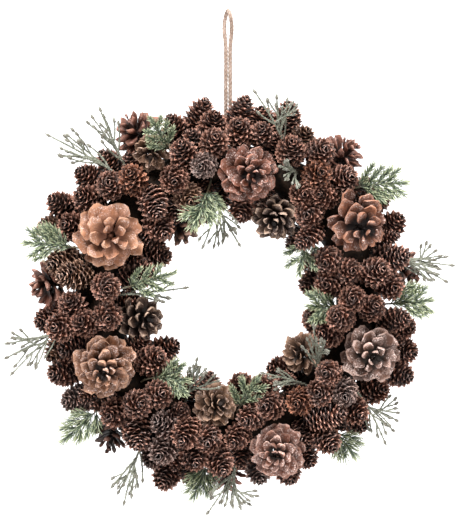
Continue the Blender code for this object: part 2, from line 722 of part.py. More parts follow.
def needle_sprig_mesh(path, needle, taken, taken_radii):
    """A stem with whorls of needles, each drawn out of one short face, where there is room for it."""
    leg = np.linalg.norm(np.diff(path, axis=0), axis=1)
    total = leg.sum()
    travelled = np.concatenate(([0], np.cumsum(leg)))
    last = total - WHORLS_END
    first = last - (NEEDLE_WHORLS - 1) * max(WHORL_APART, total * WHORL_SHARE)
    whorls = np.linspace(max(first, total * WHORLS_START), last, NEEDLE_WHORLS)
    marks = [0.0, total * 0.2]
    for mark in whorls:
        marks += [mark, mark + NEEDLE_BASE]
    marks = [m for m in marks if m == 0.0 or m < total] + [total]
    points = np.array([[np.interp(m, travelled, path[:, axis]) for axis in range(3)] for m in marks])
    radii = [NEEDLE_STEM] * (len(marks) - 1) + [NEEDLE_STEM * 0.6]
    tilts = [math.pi / 4 * ((k // 2) % 2) for k in range(len(marks))]
    bm = tube_mesh(points, radii, tilts)
    heading = Vector(path[-1] - path[-2]).normalized()
    seats = []
    for face in bm.faces:
        sides = [e.calc_length() for e in face.edges]
        if len(sides) == 4 and max(sides) < NEEDLE_BASE * 1.35:
            seats.append(face)
    for face in seats:
        if abs(face.normal.dot(heading)) > 0.7:
            continue
        centre = face.calc_center_median()
        along = (face.normal * math.cos(NEEDLE_LEAN) + heading * math.sin(NEEDLE_LEAN)).normalized()
        for reach in NEEDLE_REACHES:
            tip = centre + along * needle * reach
            line = np.array([centre + (tip - centre) * s for s in NEEDLE_CHECKS])
            distance = np.linalg.norm(line[:, None] - taken[None, :], axis=2) - taken_radii[None, :]
            room = min(distance.min(), off_ring(line)[1].min() - BED_OUTSIDE)
            if room > NEEDLE_ROOM and line[:, 1].max() < BACK_PLANE:
                point = bmesh.ops.poke(bm, faces=[face])["verts"][0]
                point.co = tip
                break
    return bm


def bud_twig_mesh(start, tip):
    """One straight twig: a three-sided rod, whose end face is drawn out into the bud."""
    length = np.linalg.norm(tip - start)
    bm = bmesh.new()
    neck = length - BUD_LENGTH
    thin = TWIG * TWIG_END
    bmesh.ops.create_cone(bm, cap_ends=True, segments=3, radius1=TWIG, radius2=thin, depth=neck)
    bmesh.ops.translate(bm, verts=bm.verts, vec=(0, 0, neck / 2))
    end = max(bm.faces, key=lambda f: f.calc_center_median().z)
    swell = bmesh.ops.extrude_discrete_faces(bm, faces=[end])["faces"][0]
    for v in swell.verts:
        v.co *= BUD / thin
        v.co.z = neck + BUD_LENGTH * BUD_BELLY
    bmesh.ops.poke(bm, faces=[swell])["verts"][0].co = (0, 0, length)
    turn = Vector(tip - start).to_track_quat("Z", "Y").to_matrix().to_4x4()
    bm.transform(Matrix.Translation(Vector(start)) @ turn)
    return bm


def bud_spray_meshes(root_pixel, depth, tips, surface):
    """A fan of twigs: a main stem to the furthest tip, and a twig to each of the others."""
    out = spot(root_pixel)
    ends = sorted(tips, key=lambda tip: -np.linalg.norm(spot(tip) - out))
    main = stem_path(root_pixel, ends[0], depth, SPRAY_STEPS, surface)
    heading = (main[-1] - main[-2]) / np.linalg.norm(main[-1] - main[-2])
    neck, belly = (main[-1:] - heading * BUD_LENGTH * share for share in (1.0, BUD_SHOULDER))
    points = np.vstack((main[:-1], neck, belly, main[-1:]))
    radii = [TWIG * share for share in SPRAY_RADII] + [BUD, BUD / 2]
    meshes = [tube_mesh(points, radii)]
    lines = [main]
    for k, tip in enumerate(ends[1:]):
        place = 1 + 2 * (k + 1) / len(ends)
        start = main[int(place)] + (main[int(place) + 1] - main[int(place)]) * (place % 1)
        end = spot(tip, depth + TWIG_FAN * (-1) ** k)
        meshes.append(bud_twig_mesh(start, end))
        lines.append(np.array((start, end)))
    return meshes, lines


def bed_mesh(cluster):
    """The glue under one cluster: a C-shaped section swept along its share of the ring."""
    start = cluster * math.tau / CLUSTERS
    end = start + math.tau / CLUSTERS
    first = ROPE_GAP if cluster == 0 else BED_END_GAP
    last = ROPE_GAP if cluster == CLUSTERS - 1 else BED_END_GAP
    start += first / RING_RADIUS
    end -= last / RING_RADIUS
    angles = np.linspace(-BED_SPREAD, BED_SPREAD, BED_STEPS_ROUND + 1)
    outside = [(RING_RADIUS + BED_OUTSIDE * math.sin(a), -BED_OUTSIDE * math.cos(a)) for a in angles]
    inside = [(RING_RADIUS + BED_INSIDE * math.sin(a), -BED_INSIDE * math.cos(a)) for a in angles[::-1]]
    bm = bmesh.new()
    turn = Matrix.Rotation(start, 3, "Y")
    corners = [bm.verts.new(turn @ Vector((0, y, r))) for r, y in outside + inside]
    section = bm.faces.new(corners)
    bmesh.ops.spin(
        bm,
        geom=[section, *section.verts, *section.edges],
        cent=(0, 0, 0),
        axis=(0, 1, 0),
        angle=end - start,
        steps=BED_STEPS_ALONG,
    )
    bmesh.ops.recalc_face_normals(bm, faces=bm.faces)
    return bm


def vine_ring_mesh():
    """Three vine stems twisted into a ring: a torus whose section has one lobe for each stem."""
    bpy.ops.mesh.primitive_torus_add(
        major_segments=RING_STATIONS,
        minor_segments=RING_SIDES,
        major_radius=RING_RADIUS,
        minor_radius=VINE_CREST,
    )
    torus = bpy.context.object
    bm = bmesh.new()
    bm.from_mesh(torus.data)
    bpy.data.objects.remove(torus)
    for v in bm.verts:
        turn = math.atan2(v.co.y, v.co.x)
        across = math.hypot(v.co.x, v.co.y) - RING_RADIUS
        section = math.atan2(v.co.z, across)
        side = round(section / math.tau * RING_SIDES)
        radius = VINE_CREST if side % (RING_SIDES // VINE_STEMS) == 0 else VINE_VALLEY
        section += turn * VINE_TURNS
        out = RING_RADIUS + radius * math.cos(section)
        v.co = (out * math.sin(turn), radius * math.sin(section), out * math.cos(turn))
    return bm


def loop_path():
    """The jute loop's centre line: up from the knot, round the hook's bend, and down again.

    The bend is turned about the upright, so the viewer sees it nearly edge on.
    """
    half = ROPE_APART / 2
    top = HOOK_TO_CENTRE + ROPE / 2
    up = [(half, 0.0, ROPE_START + rise) for rise in ROPE_RISES]
    up += [(half + LOOP_NECK[0], LOOP_TURN / 2, top - LOOP_NECK[1])]
    up += [(LOOP_BEND, LOOP_TURN, top - LOOP_SHOULDER), (0.0, LOOP_TURN, top)]
    sides = [np.array((-x * math.cos(turn), x * math.sin(turn), z)) for x, turn, z in up]
    sides += [point * (-1, -1, 1) for point in sides[-2::-1]]
    return smooth([point + (0, rope_depth(point[2]), 0) for point in sides], ROPE_STEPS)


def smooth(route, steps):
    """Points along a smooth curve through all the points of a route."""
    ends = [2 * route[0] - route[1], *route, 2 * route[-1] - route[-2]]
    line = []
    for before, a, b, after in zip(ends, ends[1:], ends[2:], ends[3:]):
        for t in np.arange(steps) / steps:
            bend = (b - before) * t + (2 * before - 5 * a + 4 * b - after) * t**2
            line.append(a + 0.5 * (bend + (3 * a - before - 3 * b + after) * t**3))
    return [*line, route[-1]]


def loop_knot_meshes():
    """The knot behind the ring, and the turn of rope round the ring that it ties."""
    knot = bmesh.new()
    bmesh.ops.create_uvsphere(knot, u_segments=KNOT_AROUND, v_segments=KNOT_ROWS, radius=1.0)
    bmesh.ops.scale(knot, vec=KNOT_RADII, verts=knot.verts)
    bmesh.ops.translate(knot, vec=(0, ROPE_DEPTH, KNOT_HEIGHT), verts=knot.verts)
    bpy.ops.mesh.primitive_torus_add(
        major_segments=HITCH_AROUND,
        minor_segments=HITCH_SIDES,
        major_radius=VINE_CREST + SEAT_GAP + ROPE / 2,
        minor_radius=ROPE / 2,
    )
    torus = bpy.context.object
    turn = bmesh.new()
    turn.from_mesh(torus.data)
    bpy.data.objects.remove(torus)
    turn.transform(Matrix.Translation((0, 0, RING_RADIUS)) @ Matrix.Rotation(math.pi / 2, 4, "Y"))
    return [knot, turn]


def rope_depth(height):
    """How far behind the wreath's middle plane the rope hangs at this height."""
    below = (HOOK_TO_CENTRE - height) / (HOOK_TO_CENTRE - KNOT_HEIGHT)
    return ROPE_DEPTH * min(1.0, max(0.0, below))


def material(name):
    """The Principled material of one finish, made once."""
    if name not in bpy.data.materials:
        made = bpy.data.materials.new(name)
        made.use_nodes = True
        shader = made.node_tree.nodes["Principled BSDF"]
        colour, roughness = COLOURS[name]
        shader.inputs["Base Color"].default_value = (*colour, 1)
        shader.inputs["Roughness"].default_value = roughness
        shader.inputs["Metallic"].default_value = 0.0
    return bpy.data.materials[name]


def working_object(bm, collection):
    """A bmesh as an object, still in millimetres."""
    mesh = bpy.data.meshes.new("working")
    bm.to_mesh(mesh)
    bm.free()
    piece = bpy.data.objects.new("working", mesh)
    collection.objects.link(piece)
    return piece


def fused(meshes):
    """One closed mesh from several that overlap. A scrap that touches nothing is dropped."""
    scene = bpy.context.scene.collection
    tools = bpy.data.collections.new("tools")
    scene.children.link(tools)
    body = working_object(meshes[0], scene)
    for bm in meshes[1:]:
        working_object(bm, tools)
    join = body.modifiers.new("join", "BOOLEAN")
    join.operation = "UNION"
    join.operand_type = "COLLECTION"
    join.collection = tools
    join.solver = "EXACT"
    joined = bpy.data.meshes.new_from_object(body.evaluated_get(bpy.context.evaluated_depsgraph_get()))
    bm = bmesh.new()
    bm.from_mesh(joined)
    for piece in [body, *tools.objects]:
        bpy.data.meshes.remove(piece.data)
    bpy.data.collections.remove(tools)
    bpy.data.meshes.remove(joined)
    islands = keep_largest(bm)
    if islands > 1:
        print(islands, "islands from", len(meshes), "pieces")
    return bm


def keep_largest(bm):
    """Deletes every loose island of a mesh but the one with the most faces."""
    unseen = set(bm.verts)
    islands = []
    while unseen:
        edge_of = [unseen.pop()]
        island = set(edge_of)
        while edge_of:
            for edge in edge_of.pop().link_edges:
                for v in edge.verts:
                    if v in unseen:
                        unseen.discard(v)
                        island.add(v)
                        edge_of.append(v)
        islands.append(island)
    islands.sort(key=len)
    scraps = [v for island in islands[:-1] for v in island]
    bmesh.ops.delete(bm, geom=scraps, context="VERTS")
    return len(islands)


def finish(name, bm, origin, finish_name, collection, centre):
    """Turns a bmesh in millimetres into a named node in metres, with its origin at its seat."""
    origin = Vector(origin)
    bmesh.ops.translate(bm, verts=bm.verts, vec=-origin)
    bmesh.ops.scale(bm, verts=bm.verts, vec=(MM, MM, MM))
    mesh = bpy.data.meshes.new(name)
    bm.to_mesh(mesh)
    bm.free()
    mesh.shade_smooth()
    mesh.set_sharp_from_angle(angle=SHARP_ANGLE)
    mesh.materials.append(material(finish_name))
    node = bpy.data.objects.new(name, mesh)
    node.location = origin * MM
    node.parent = centre
    collection.objects.link(node)
    return node


def main():
    for old in list(bpy.data.objects):
        bpy.data.objects.remove(old)
    wreath = bpy.data.collections.new("pinecone_wreath")
    bpy.context.scene.collection.children.link(wreath)
    centre = bpy.data.objects.new("wreath_centre", None)
    centre.location = (0, 0, -HOOK_TO_CENTRE * MM)
    wreath.objects.link(centre)

    surface = bed_surface()
    large = [large_cone(*spec[1:]) for spec in LARGE_CONES]
    opened = [open_cone(k, *spec[1:]) for k, spec in enumerate(OPEN_CONES)]
    small = [small_cone(tip, root) for tip, root in SMALL_CONES]
    sprig_paths = [
        stem_path(root, tip, depth, STEM_STEPS, surface) for _, root, tip, depth, _ in NEEDLE_SPRIGS
    ]
    sprays = [bud_spray_meshes(root, depth, tips, surface) for _, root, depth, tips in BUD_SPRAYS]

    walls = [rim_balls(cone, surface) for cone in large]
    walls += [beads(path, NEEDLE_STEM + BEAD_MARGIN) for path in sprig_paths]
    walls += [beads(line, TWIG + BEAD_MARGIN) for _, lines in sprays for line in lines]
    walls += [beads(np.array(loop_path()), ROPE / 2)]
    wall_points = np.vstack([w[0] for w in walls])
    wall_radii = np.concatenate([w[1] for w in walls])
    settle(opened + small, wall_points, wall_radii)
    slim(opened + small, wall_points, wall_radii)
    small += tuck(opened + small, wall_points, wall_radii)
    print(len(small), "small cones")

    finish("vine_ring", vine_ring_mesh(), (0, 0, 0), "vine", wreath, centre)
    rope = loop_path()
    tube = tube_mesh(rope, [ROPE / 2] * len(rope), resolution=2)
    finish("hanging_loop", tube, (0, 0, HOOK_TO_CENTRE), "jute", wreath, centre)
    finish("loop_knot", fused(loop_knot_meshes()), (0, ROPE_DEPTH, KNOT_HEIGHT), "jute", wreath, centre)
    for cluster in range(CLUSTERS):
        cones = [c for c in small if c.node == cluster]
        meshes = [bed_mesh(cluster)] + [bm for c in cones for bm in small_cone_meshes(c)]
        middle = (cluster + 0.5) * math.tau / CLUSTERS
        origin = (RING_RADIUS * math.sin(middle), 0, RING_RADIUS * math.cos(middle))
        finish(f"small_cones_{cluster + 1:02d}", fused(meshes), origin, "spruce_cone", wreath, centre)
    for (name, *_), cone in zip(LARGE_CONES, large):
        bm = pine_cone_mesh(cone, LARGE_AROUND, LARGE_ROWS, LARGE_SCALE, surface)
        finish(f"large_cone_{name}", bm, cone.root, "pine_cone", wreath, centre)
    for (name, *_), cone in zip(OPEN_CONES, opened):
        bm = pine_cone_mesh(cone, OPEN_AROUND, OPEN_ROWS, OPEN_SCALE, surface)
        finish(f"open_cone_{name}", bm, cone.root, "dark_pine_cone", wreath, centre)

    everything = walls + [c.balls() for c in opened + small]
    for k, (name, root, tip, depth, needle) in enumerate(NEEDLE_SPRIGS):
        own = len(large) + k
        others = [w for n, w in enumerate(everything) if n != own]
        taken = np.vstack([w[0] for w in others])
        taken_radii = np.concatenate([w[1] for w in others])
        bm = needle_sprig_mesh(sprig_paths[k], needle, taken, taken_radii)
        finish(f"needle_sprig_{name}", bm, sprig_paths[k][0], "needles", wreath, centre)
    for (name, *_), (meshes, lines) in zip(BUD_SPRAYS, sprays):
        finish(f"bud_spray_{name}", fused(meshes), lines[0][0], "budded_twig", wreath, centre)


main()
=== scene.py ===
# %% [markdown]
# # A pinecone wreath
#
# A ring of twisted vine carries about 130 small spruce cones, a dozen middle-sized pine cones and
# six large ones. Sprigs of needles and sprays of budded twigs stick out between them, and the whole
# thing hangs from a loop of jute.
#
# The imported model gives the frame: each piece here takes the place of one of its nodes and keeps
# that node's form. Everything is worked out in millimetres round the wreath's own centre, with x to
# the right, z up and y away from the viewer, and is turned into metres as a piece is finished.

# %% Load the frame
import math

import bmesh
import bpy
import numpy as np
from mathutils import Matrix, Vector, noise
from mathutils.bvhtree import BVHTree


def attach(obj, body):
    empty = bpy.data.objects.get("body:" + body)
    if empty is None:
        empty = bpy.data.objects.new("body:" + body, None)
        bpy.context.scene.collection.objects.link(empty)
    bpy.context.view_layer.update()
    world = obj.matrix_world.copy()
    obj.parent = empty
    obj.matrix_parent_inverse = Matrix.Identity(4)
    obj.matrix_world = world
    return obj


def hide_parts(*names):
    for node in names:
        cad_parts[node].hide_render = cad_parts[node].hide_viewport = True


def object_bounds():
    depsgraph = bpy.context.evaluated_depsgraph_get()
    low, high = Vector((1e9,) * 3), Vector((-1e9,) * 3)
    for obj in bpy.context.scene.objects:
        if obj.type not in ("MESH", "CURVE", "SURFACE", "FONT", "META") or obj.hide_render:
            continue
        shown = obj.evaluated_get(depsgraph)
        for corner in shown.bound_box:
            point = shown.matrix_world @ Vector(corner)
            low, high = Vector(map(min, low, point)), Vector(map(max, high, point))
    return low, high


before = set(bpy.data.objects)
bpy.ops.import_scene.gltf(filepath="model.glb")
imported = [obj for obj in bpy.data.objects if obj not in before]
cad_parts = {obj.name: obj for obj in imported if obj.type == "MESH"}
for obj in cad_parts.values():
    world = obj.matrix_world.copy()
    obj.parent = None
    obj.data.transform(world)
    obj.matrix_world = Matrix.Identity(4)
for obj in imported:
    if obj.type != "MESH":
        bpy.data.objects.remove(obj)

# Unseeded, the vector noise that bends the scales would be drawn from the clock.
NOISE_SEED = 8
noise.seed_set(NOISE_SEED)

frame_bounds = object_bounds()
print(len(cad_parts), "nodes in the frame")

# %% [markdown]
# ## Where the wreath is
#
# The hook that carries the loop is the origin, and the middle of the wreath hangs 286 mm below it.
# One pixel of the photograph is one millimetre, so a place in the picture is a place on the wreath.

# %% Places and sizes
PHOTO_CENTRE = (228, 297)
PHOTO_SIZE = (460, 520)
HOOK_TO_CENTRE = 286.0
TO_WORLD = Matrix.Translation((0, 0, -HOOK_TO_CENTRE / 1000)) @ Matrix.Scale(0.001, 4)


def spot(pixel, depth=0.0):
    """A point of the photograph, as millimetres from the wreath's centre."""
    return np.array((pixel[0] - PHOTO_CENTRE[0], depth, PHOTO_CENTRE[1] - pixel[1]), dtype=float)


print("the wreath's centre is", tuple(TO_WORLD.translation))

# %% [markdown]
# ## The camera
#
# The photograph looks straight at the wreath with very little perspective. A long lens from five
# metres away gives the same view: what stands forward of the ring hardly grows.

# %% Camera
CAMERA_DISTANCE = 5.0
LENS_PLANE = -0.02

camera = bpy.data.objects.new("camera", bpy.data.cameras.new("camera"))
bpy.context.scene.collection.objects.link(camera)
middle = spot((PHOTO_SIZE[0] / 2, PHOTO_SIZE[1] / 2))
camera.location = TO_WORLD @ Vector(middle) + Vector((0, LENS_PLANE - CAMERA_DISTANCE, 0))
camera.rotation_euler = (math.pi / 2, 0, 0)
camera.data.sensor_width = 36
camera.data.lens = 36 * CAMERA_DISTANCE / (PHOTO_SIZE[1] / 1000)
camera.data.clip_end = 50
bpy.context.scene.camera = camera
print("lens", round(camera.data.lens), "mm")

# %% [markdown]
# ## Tools for materials
#
# Every finish is a small network of nodes. One helper places a node and joins it up, so that a
# material reads as a list of steps.


# %% A helper that places shader nodes
def feed(tree, socket, value):
    """Gives a socket its value, which is a plain one or another node's output."""
    if isinstance(value, bpy.types.NodeSocket):
        tree.links.new(value, socket)
    else:
        socket.default_value = value


def place(tree, kind, inputs=None, **settings):
    """A new node: settings are its own choices, inputs are plain values or other nodes' outputs."""
    made = tree.nodes.new(kind)
    for key, value in settings.items():
        setattr(made, key, value)
    for key, value in (inputs or {}).items():
        feed(tree, made.inputs[key], value)
    return made


def new_group(name, inputs, outputs):
    """An empty node group with named colour and value sockets, and its two end nodes."""
    tree = bpy.data.node_groups.new(name, "ShaderNodeTree")
    for direction, sockets in (("INPUT", inputs), ("OUTPUT", outputs)):
        for label, kind in sockets.items():
            tree.interface.new_socket(name=label, in_out=direction, socket_type=kind)
    return tree, tree.nodes.new("NodeGroupInput").outputs, tree.nodes.new("NodeGroupOutput").inputs


def mix(tree, share, first, second, blend="MIX"):
    """The output of a colour mix."""
    made = place(tree, "ShaderNodeMix", data_type="RGBA", blend_type=blend)
    for k, value in zip((0, 6, 7), (share, first, second)):
        feed(tree, made.inputs[k], value)
    return made.outputs[2]


def ramp(tree, value, low, high, smooth=True):
    """A value as a share from 0 at low to 1 at high."""
    kind = "SMOOTHSTEP" if smooth else "LINEAR"
    made = place(tree, "ShaderNodeMapRange", {0: value, 1: low, 2: high}, interpolation_type=kind)
    return made.outputs[0]


def maths(tree, operation, first, second=0.0):
    """The output of one sum on values."""
    return place(tree, "ShaderNodeMath", {0: first, 1: second}, operation=operation).outputs[0]


def carried(tree, mark):
    """The value that the mesh's vertices carry under this name."""
    return place(tree, "ShaderNodeAttribute", attribute_name=mark).outputs["Fac"]


def grain(tree, size, detail=3.0, stretch=(1, 1, 1)):
    """Noise on the object's own coordinates, whose grains are about this many millimetres."""
    where = place(tree, "ShaderNodeTexCoord").outputs["Object"]
    turned = place(tree, "ShaderNodeMapping", {"Vector": where, "Scale": stretch}).outputs[0]
    made = place(tree, "ShaderNodeTexNoise", {"Vector": turned, "Scale": 1000 / size, "Detail": detail})
    return made.outputs["Fac"]


def new_finish(name, roughness=0.5, shine=0.5):
    """A new material, its node tree and its shader."""
    made = bpy.data.materials.new(name)
    made.use_nodes = True
    shader = made.node_tree.nodes["Principled BSDF"]
    shader.inputs["Roughness"].default_value = roughness
    shader.inputs["Specular IOR Level"].default_value = shine
    return made, made.node_tree, shader


def bump_into(tree, shader, height, strength, distance):
    """Gives a shader the relief of a value. The distance is in metres."""
    settings = {"Height": height, "Strength": strength, "Distance": distance}
    tree.links.new(place(tree, "ShaderNodeBump", settings).outputs[0], shader.inputs["Normal"])


# %% [markdown]
# ## Frost
#
# The cones, needles and twigs are dusted with artificial frost: a thin pale film with fine flecks
# in it, which gathers in patches. Several finishes share it, so it is a node group. It mixes a frost
# colour over any colour and gives its mask, which the cones' finish uses to make the flecks rough.

# %% Frost group
frost_tree, given, wanted = new_group(
    "frost",
    {"Colour": "NodeSocketColor", "Frost": "NodeSocketColor", "Amount": "NodeSocketFloat"},
    {"Colour": "NodeSocketColor", "Mask": "NodeSocketFloat"},
)
flecks = ramp(frost_tree, grain(frost_tree, 1.2, 1.0), 0.54, 0.68)
patches = ramp(frost_tree, grain(frost_tree, 9.0, 3.0), 0.34, 0.66)
film = maths(frost_tree, "ADD", maths(frost_tree, "MULTIPLY", flecks, 0.9), 0.1)
mask = maths(frost_tree, "MULTIPLY", maths(frost_tree, "MULTIPLY", film, patches), given["Amount"])
frost_tree.links.new(mix(frost_tree, mask, given["Colour"], given["Frost"]), wanted["Colour"])
frost_tree.links.new(mask, wanted["Mask"])
print("frost group:", len(frost_tree.nodes), "nodes")


def frosted(tree, colour, frost, amount):
    """A colour dusted with frost: the outputs are the colour that results and the frost's mask."""
    dust = place(tree, "ShaderNodeGroup", {"Colour": colour, "Frost": (*frost, 1), "Amount": amount},
                 node_tree=frost_tree)
    return dust.outputs

# %% [markdown]
# ## Cone scales
#
# A cone scale is painted nearly black where it leaves the core, as painted shade in the hollow between the
# scales, brown on its face, and pale on its rim, which is partly wear and partly a painted highlight.
# Each scale's mesh carries how far along it a point is, and a tone of its own, so the colour follows
# the scale instead of lying over the cone like a print.

# %% Scale colour group
scale_tree, given, wanted = new_group(
    "scale_colour",
    {
        "Painted shade": "NodeSocketColor",
        "Face": "NodeSocketColor",
        "Rim": "NodeSocketColor",
        "Odd tone": "NodeSocketColor",
        "Rim starts": "NodeSocketFloat",
        "Rim reach": "NodeSocketFloat",
        "Along": "NodeSocketFloat",
        "Across": "NodeSocketFloat",
        "Tone": "NodeSocketFloat",
    },
    {"Colour": "NodeSocketColor", "Height": "NodeSocketFloat"},
)
odd = ramp(scale_tree, given["Tone"], 0.3, 1.0)
face = mix(scale_tree, odd, given["Face"], given["Odd tone"])
lane = maths(scale_tree, "ADD", maths(scale_tree, "MULTIPLY", given["Tone"], 40.0), given["Across"])
drawn_out = maths(scale_tree, "MULTIPLY", given["Along"], 0.35)
where = place(scale_tree, "ShaderNodeCombineXYZ", {0: lane, 1: drawn_out})
fibres = place(scale_tree, "ShaderNodeTexNoise", {"Vector": where.outputs[0], "Scale": 4.5, "Detail": 4.0})
fibres = fibres.outputs["Fac"]
blotch = ramp(scale_tree, grain(scale_tree, 6.0, 2.0), 0.3, 0.7)
dark = maths(scale_tree, "ADD", maths(scale_tree, "MULTIPLY", blotch, 0.3), 0.22)
shade = mix(scale_tree, dark, face, given["Painted shade"])
shade = mix(scale_tree, ramp(scale_tree, fibres, 0.25, 0.7), shade, face)
mottle = ramp(scale_tree, grain(scale_tree, 1.8, 3.0), 0.3, 0.72)
shade = mix(scale_tree, maths(scale_tree, "MULTIPLY", mottle, 0.4), shade, given["Painted shade"])
# Painted shade: towards its root, where it leaves the core, the scale's colour darkens to the painted-shade
# colour.
out_of_painted_shade = ramp(scale_tree, given["Along"], 0.28, 0.84)
shade = mix(scale_tree, out_of_painted_shade, given["Painted shade"], shade)
# The pale rim, mixed in towards the scale's end and more on some scales than others, is partly wear and partly
# a painted highlight.
edge = maths(scale_tree, "ADD", given["Along"], maths(scale_tree, "MULTIPLY", fibres, 0.24))
edge = maths(scale_tree, "SUBTRACT", edge, 0.12)
rim_share = maths(scale_tree, "SUBTRACT", edge, given["Rim starts"])
worn = ramp(scale_tree, rim_share, 0.0, 0.16)
beside = maths(scale_tree, "SUBTRACT", maths(scale_tree, "ABSOLUTE", given["Across"]), given["Rim reach"])
worn = maths(scale_tree, "MULTIPLY", worn, ramp(scale_tree, beside, 0.45, 0.0))
uneven = maths(scale_tree, "ADD", maths(scale_tree, "MULTIPLY", given["Tone"], 0.8), 0.2)
shade = mix(scale_tree, maths(scale_tree, "MULTIPLY", worn, uneven), shade, given["Rim"])
scale_tree.links.new(shade, wanted["Colour"])
scale_tree.links.new(fibres, wanted["Height"])
print("scale group:", len(scale_tree.nodes), "nodes")


# %% The finish of one kind of cone
CONE_FROST = (0.74, 0.59, 0.54)


def cone_finish(name, painted_shade, face, pale_rim_and_highlight, odd, frost, rim_starts, roughness, shine=0.25, rim_reach=0.9):
    """A material for cones. Colours are linear; frost is how strongly they are dusted."""
    made, tree, shader = new_finish(name, shine=shine)
    along = carried(tree, "along")
    colours = {"Painted shade": painted_shade, "Face": face, "Rim": pale_rim_and_highlight, "Odd tone": odd}
    settings = {key: (*colour, 1) for key, colour in colours.items()}
    settings |= {"Rim starts": rim_starts, "Rim reach": rim_reach}
    settings |= {"Along": along, "Across": carried(tree, "across"), "Tone": carried(tree, "tone")}
    scale = place(tree, "ShaderNodeGroup", settings, node_tree=scale_tree)
    outer = ramp(tree, along, 0.45, 0.9)
    strength = maths(tree, "MULTIPLY", maths(tree, "MULTIPLY", outer, carried(tree, "dusted")), frost)
    dust = frosted(tree, scale.outputs["Colour"], CONE_FROST, strength)
    tree.links.new(dust["Colour"], shader.inputs["Base Color"])
    rough = maths(tree, "ADD", maths(tree, "MULTIPLY", dust["Mask"], 0.3), roughness)
    tree.links.new(rough, shader.inputs["Roughness"])
    bump_into(tree, shader, scale.outputs["Height"], 0.7, 0.0008)
    return made


# %% [markdown]
# ## How a finished mesh becomes a piece
#
# Each piece is built in a bmesh in millimetres. Hanging it turns it into metres, gives it its finishes, makes
# it ride with the wreath's one body and hides the node of the frame that it stands for. Its object stays at the
# origin, so a pattern on object coordinates lies where the mesh is.

# %% Hang a piece in the frame
SHARP = math.radians(55)
made_triangles = {}


def marked_bmesh(*marks):
    """An empty bmesh whose vertices carry these marks, which the finishes read."""
    bm = bmesh.new()
    for mark in marks:
        bm.verts.layers.float.new(mark)
    return bm


def as_mesh(bm, name):
    """Turns a bmesh into a mesh, and lets the bmesh go."""
    mesh = bpy.data.meshes.new(name)
    bm.to_mesh(mesh)
    bm.free()
    return mesh


def hang(name, bm, finishes, node):
    """Makes a bmesh in millimetres a piece of the wreath that stands for a node of the frame."""
    bm.transform(TO_WORLD)
    mesh = as_mesh(bm, name)
    for finish in finishes:
        mesh.materials.append(finish)
    mesh.shade_smooth()
    mesh.set_sharp_from_angle(angle=SHARP)
    piece = bpy.data.objects.new(name, mesh)
    bpy.context.scene.collection.objects.link(piece)
    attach(piece, "root")
    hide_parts(node)
    mesh.calc_loop_triangles()
    made_triangles[name] = len(mesh.loop_triangles)
    return piece


# %% [markdown]
# ## Tubes
#
# Stems, vines and strands of rope are all tubes along a line of points. A ring of vertices is set
# at the start and extruded from point to point, which keeps the ring in one piece, so that the
# twist of the line is under control and the ends close with one face each.


# %% A tube along a line
def unit(vector):
    """The same direction, one unit long."""
    return vector / np.linalg.norm(vector)


def facing(direction):
    """The matrix that turns local +z to this direction."""
    return Vector(direction).to_track_quat("Z", "Y").to_matrix().to_4x4()


def frames_along(points):
    """Directions across a line at each point, carried along it without twist."""
    points = [Vector(p) for p in points]
    headings = [(b - a).normalized() for a, b in zip(points, points[1:])]
    headings = [headings[0], *[(a + b).normalized() for a, b in zip(headings, headings[1:])], headings[-1]]
    side = headings[0].orthogonal().normalized()
    frames = []
    for heading in headings:
        side = (side - heading * side.dot(heading)).normalized()
        frames.append((side, heading.cross(side)))
    return frames


def pour(small, bm):
    """Adds all of a small bmesh to a larger one, which is quicker than building in the large one."""
    mesh = as_mesh(small, "part")
    bm.from_mesh(mesh)
    bpy.data.meshes.remove(mesh)


def tube_into(bm, points, radii, sides=6, marks=None):
    """Extrudes a ring of vertices along a line of points, and closes both its ends."""
    small = marked_bmesh("along")
    along = small.verts.layers.float["along"]
    ring = bmesh.ops.create_circle(small, segments=sides, radius=1.0, cap_ends=False)["verts"]
    spokes = [(math.cos(k * math.tau / sides), math.sin(k * math.tau / sides)) for k in range(sides)]
    for k, (point, radius, (side, up)) in enumerate(zip(points, radii, frames_along(points))):
        if k:
            edges = [small.edges.get((a, b)) for a, b in zip(ring, ring[1:] + ring[:1])]
            grown = bmesh.ops.extrude_edge_only(small, edges=edges)["geom"]
            fresh = {v for v in grown if isinstance(v, bmesh.types.BMVert)}
            ring = [next(e.other_vert(v) for e in v.link_edges if e.other_vert(v) in fresh) for v in ring]
        for v, (c, s) in zip(ring, spokes):
            v.co = Vector(point) + (side * c + up * s) * radius
            v[along] = marks[k] if marks else 0.0
        if k in (0, len(points) - 1):
            small.faces.new(ring if k else ring[::-1])
    pour(small, bm)


def bend(start, middle, end, steps):
    """Points along the curve that leaves start towards middle and arrives at end."""
    share = np.linspace(0, 1, steps)[:, None]
    start, middle, end = (np.array(p, dtype=float) for p in (start, middle, end))
    return (1 - share) ** 2 * start + 2 * share * (1 - share) * middle + share**2 * end


def smooth(route, steps):
    """Points along a smooth curve through all the points of a route."""
    ends = [2 * route[0] - route[1], *route, 2 * route[-1] - route[-2]]
    line = []
    for before, a, b, after in zip(ends, ends[1:], ends[2:], ends[3:]):
        for t in np.arange(steps) / steps:
            turn = (b - before) * t + (2 * before - 5 * a + 4 * b - after) * t**2
            line.append(a + 0.5 * (turn + (3 * a - before - 3 * b + after) * t**3))
    return [*line, route[-1]]


trial = bmesh.new()
tube_into(trial, [(0, 0, 0), (0, 0, 5), (2, 0, 9)], [1, 1, 1])
print("a trial tube has", len(trial.faces), "faces, closed:", all(e.is_manifold for e in trial.edges))
trial.free()

# %% [markdown]
# ## The jute loop
#
# The loop is a doubled length of three-ply jute twine, 3.6 mm thick. It hangs over the hook, runs
# down behind the cones, and is tied round the back of the vine. Three strands are wound round the
# line of the twine, each one a tube, because the twist is what makes twine look like twine. A few
# loose fibres stand off it.

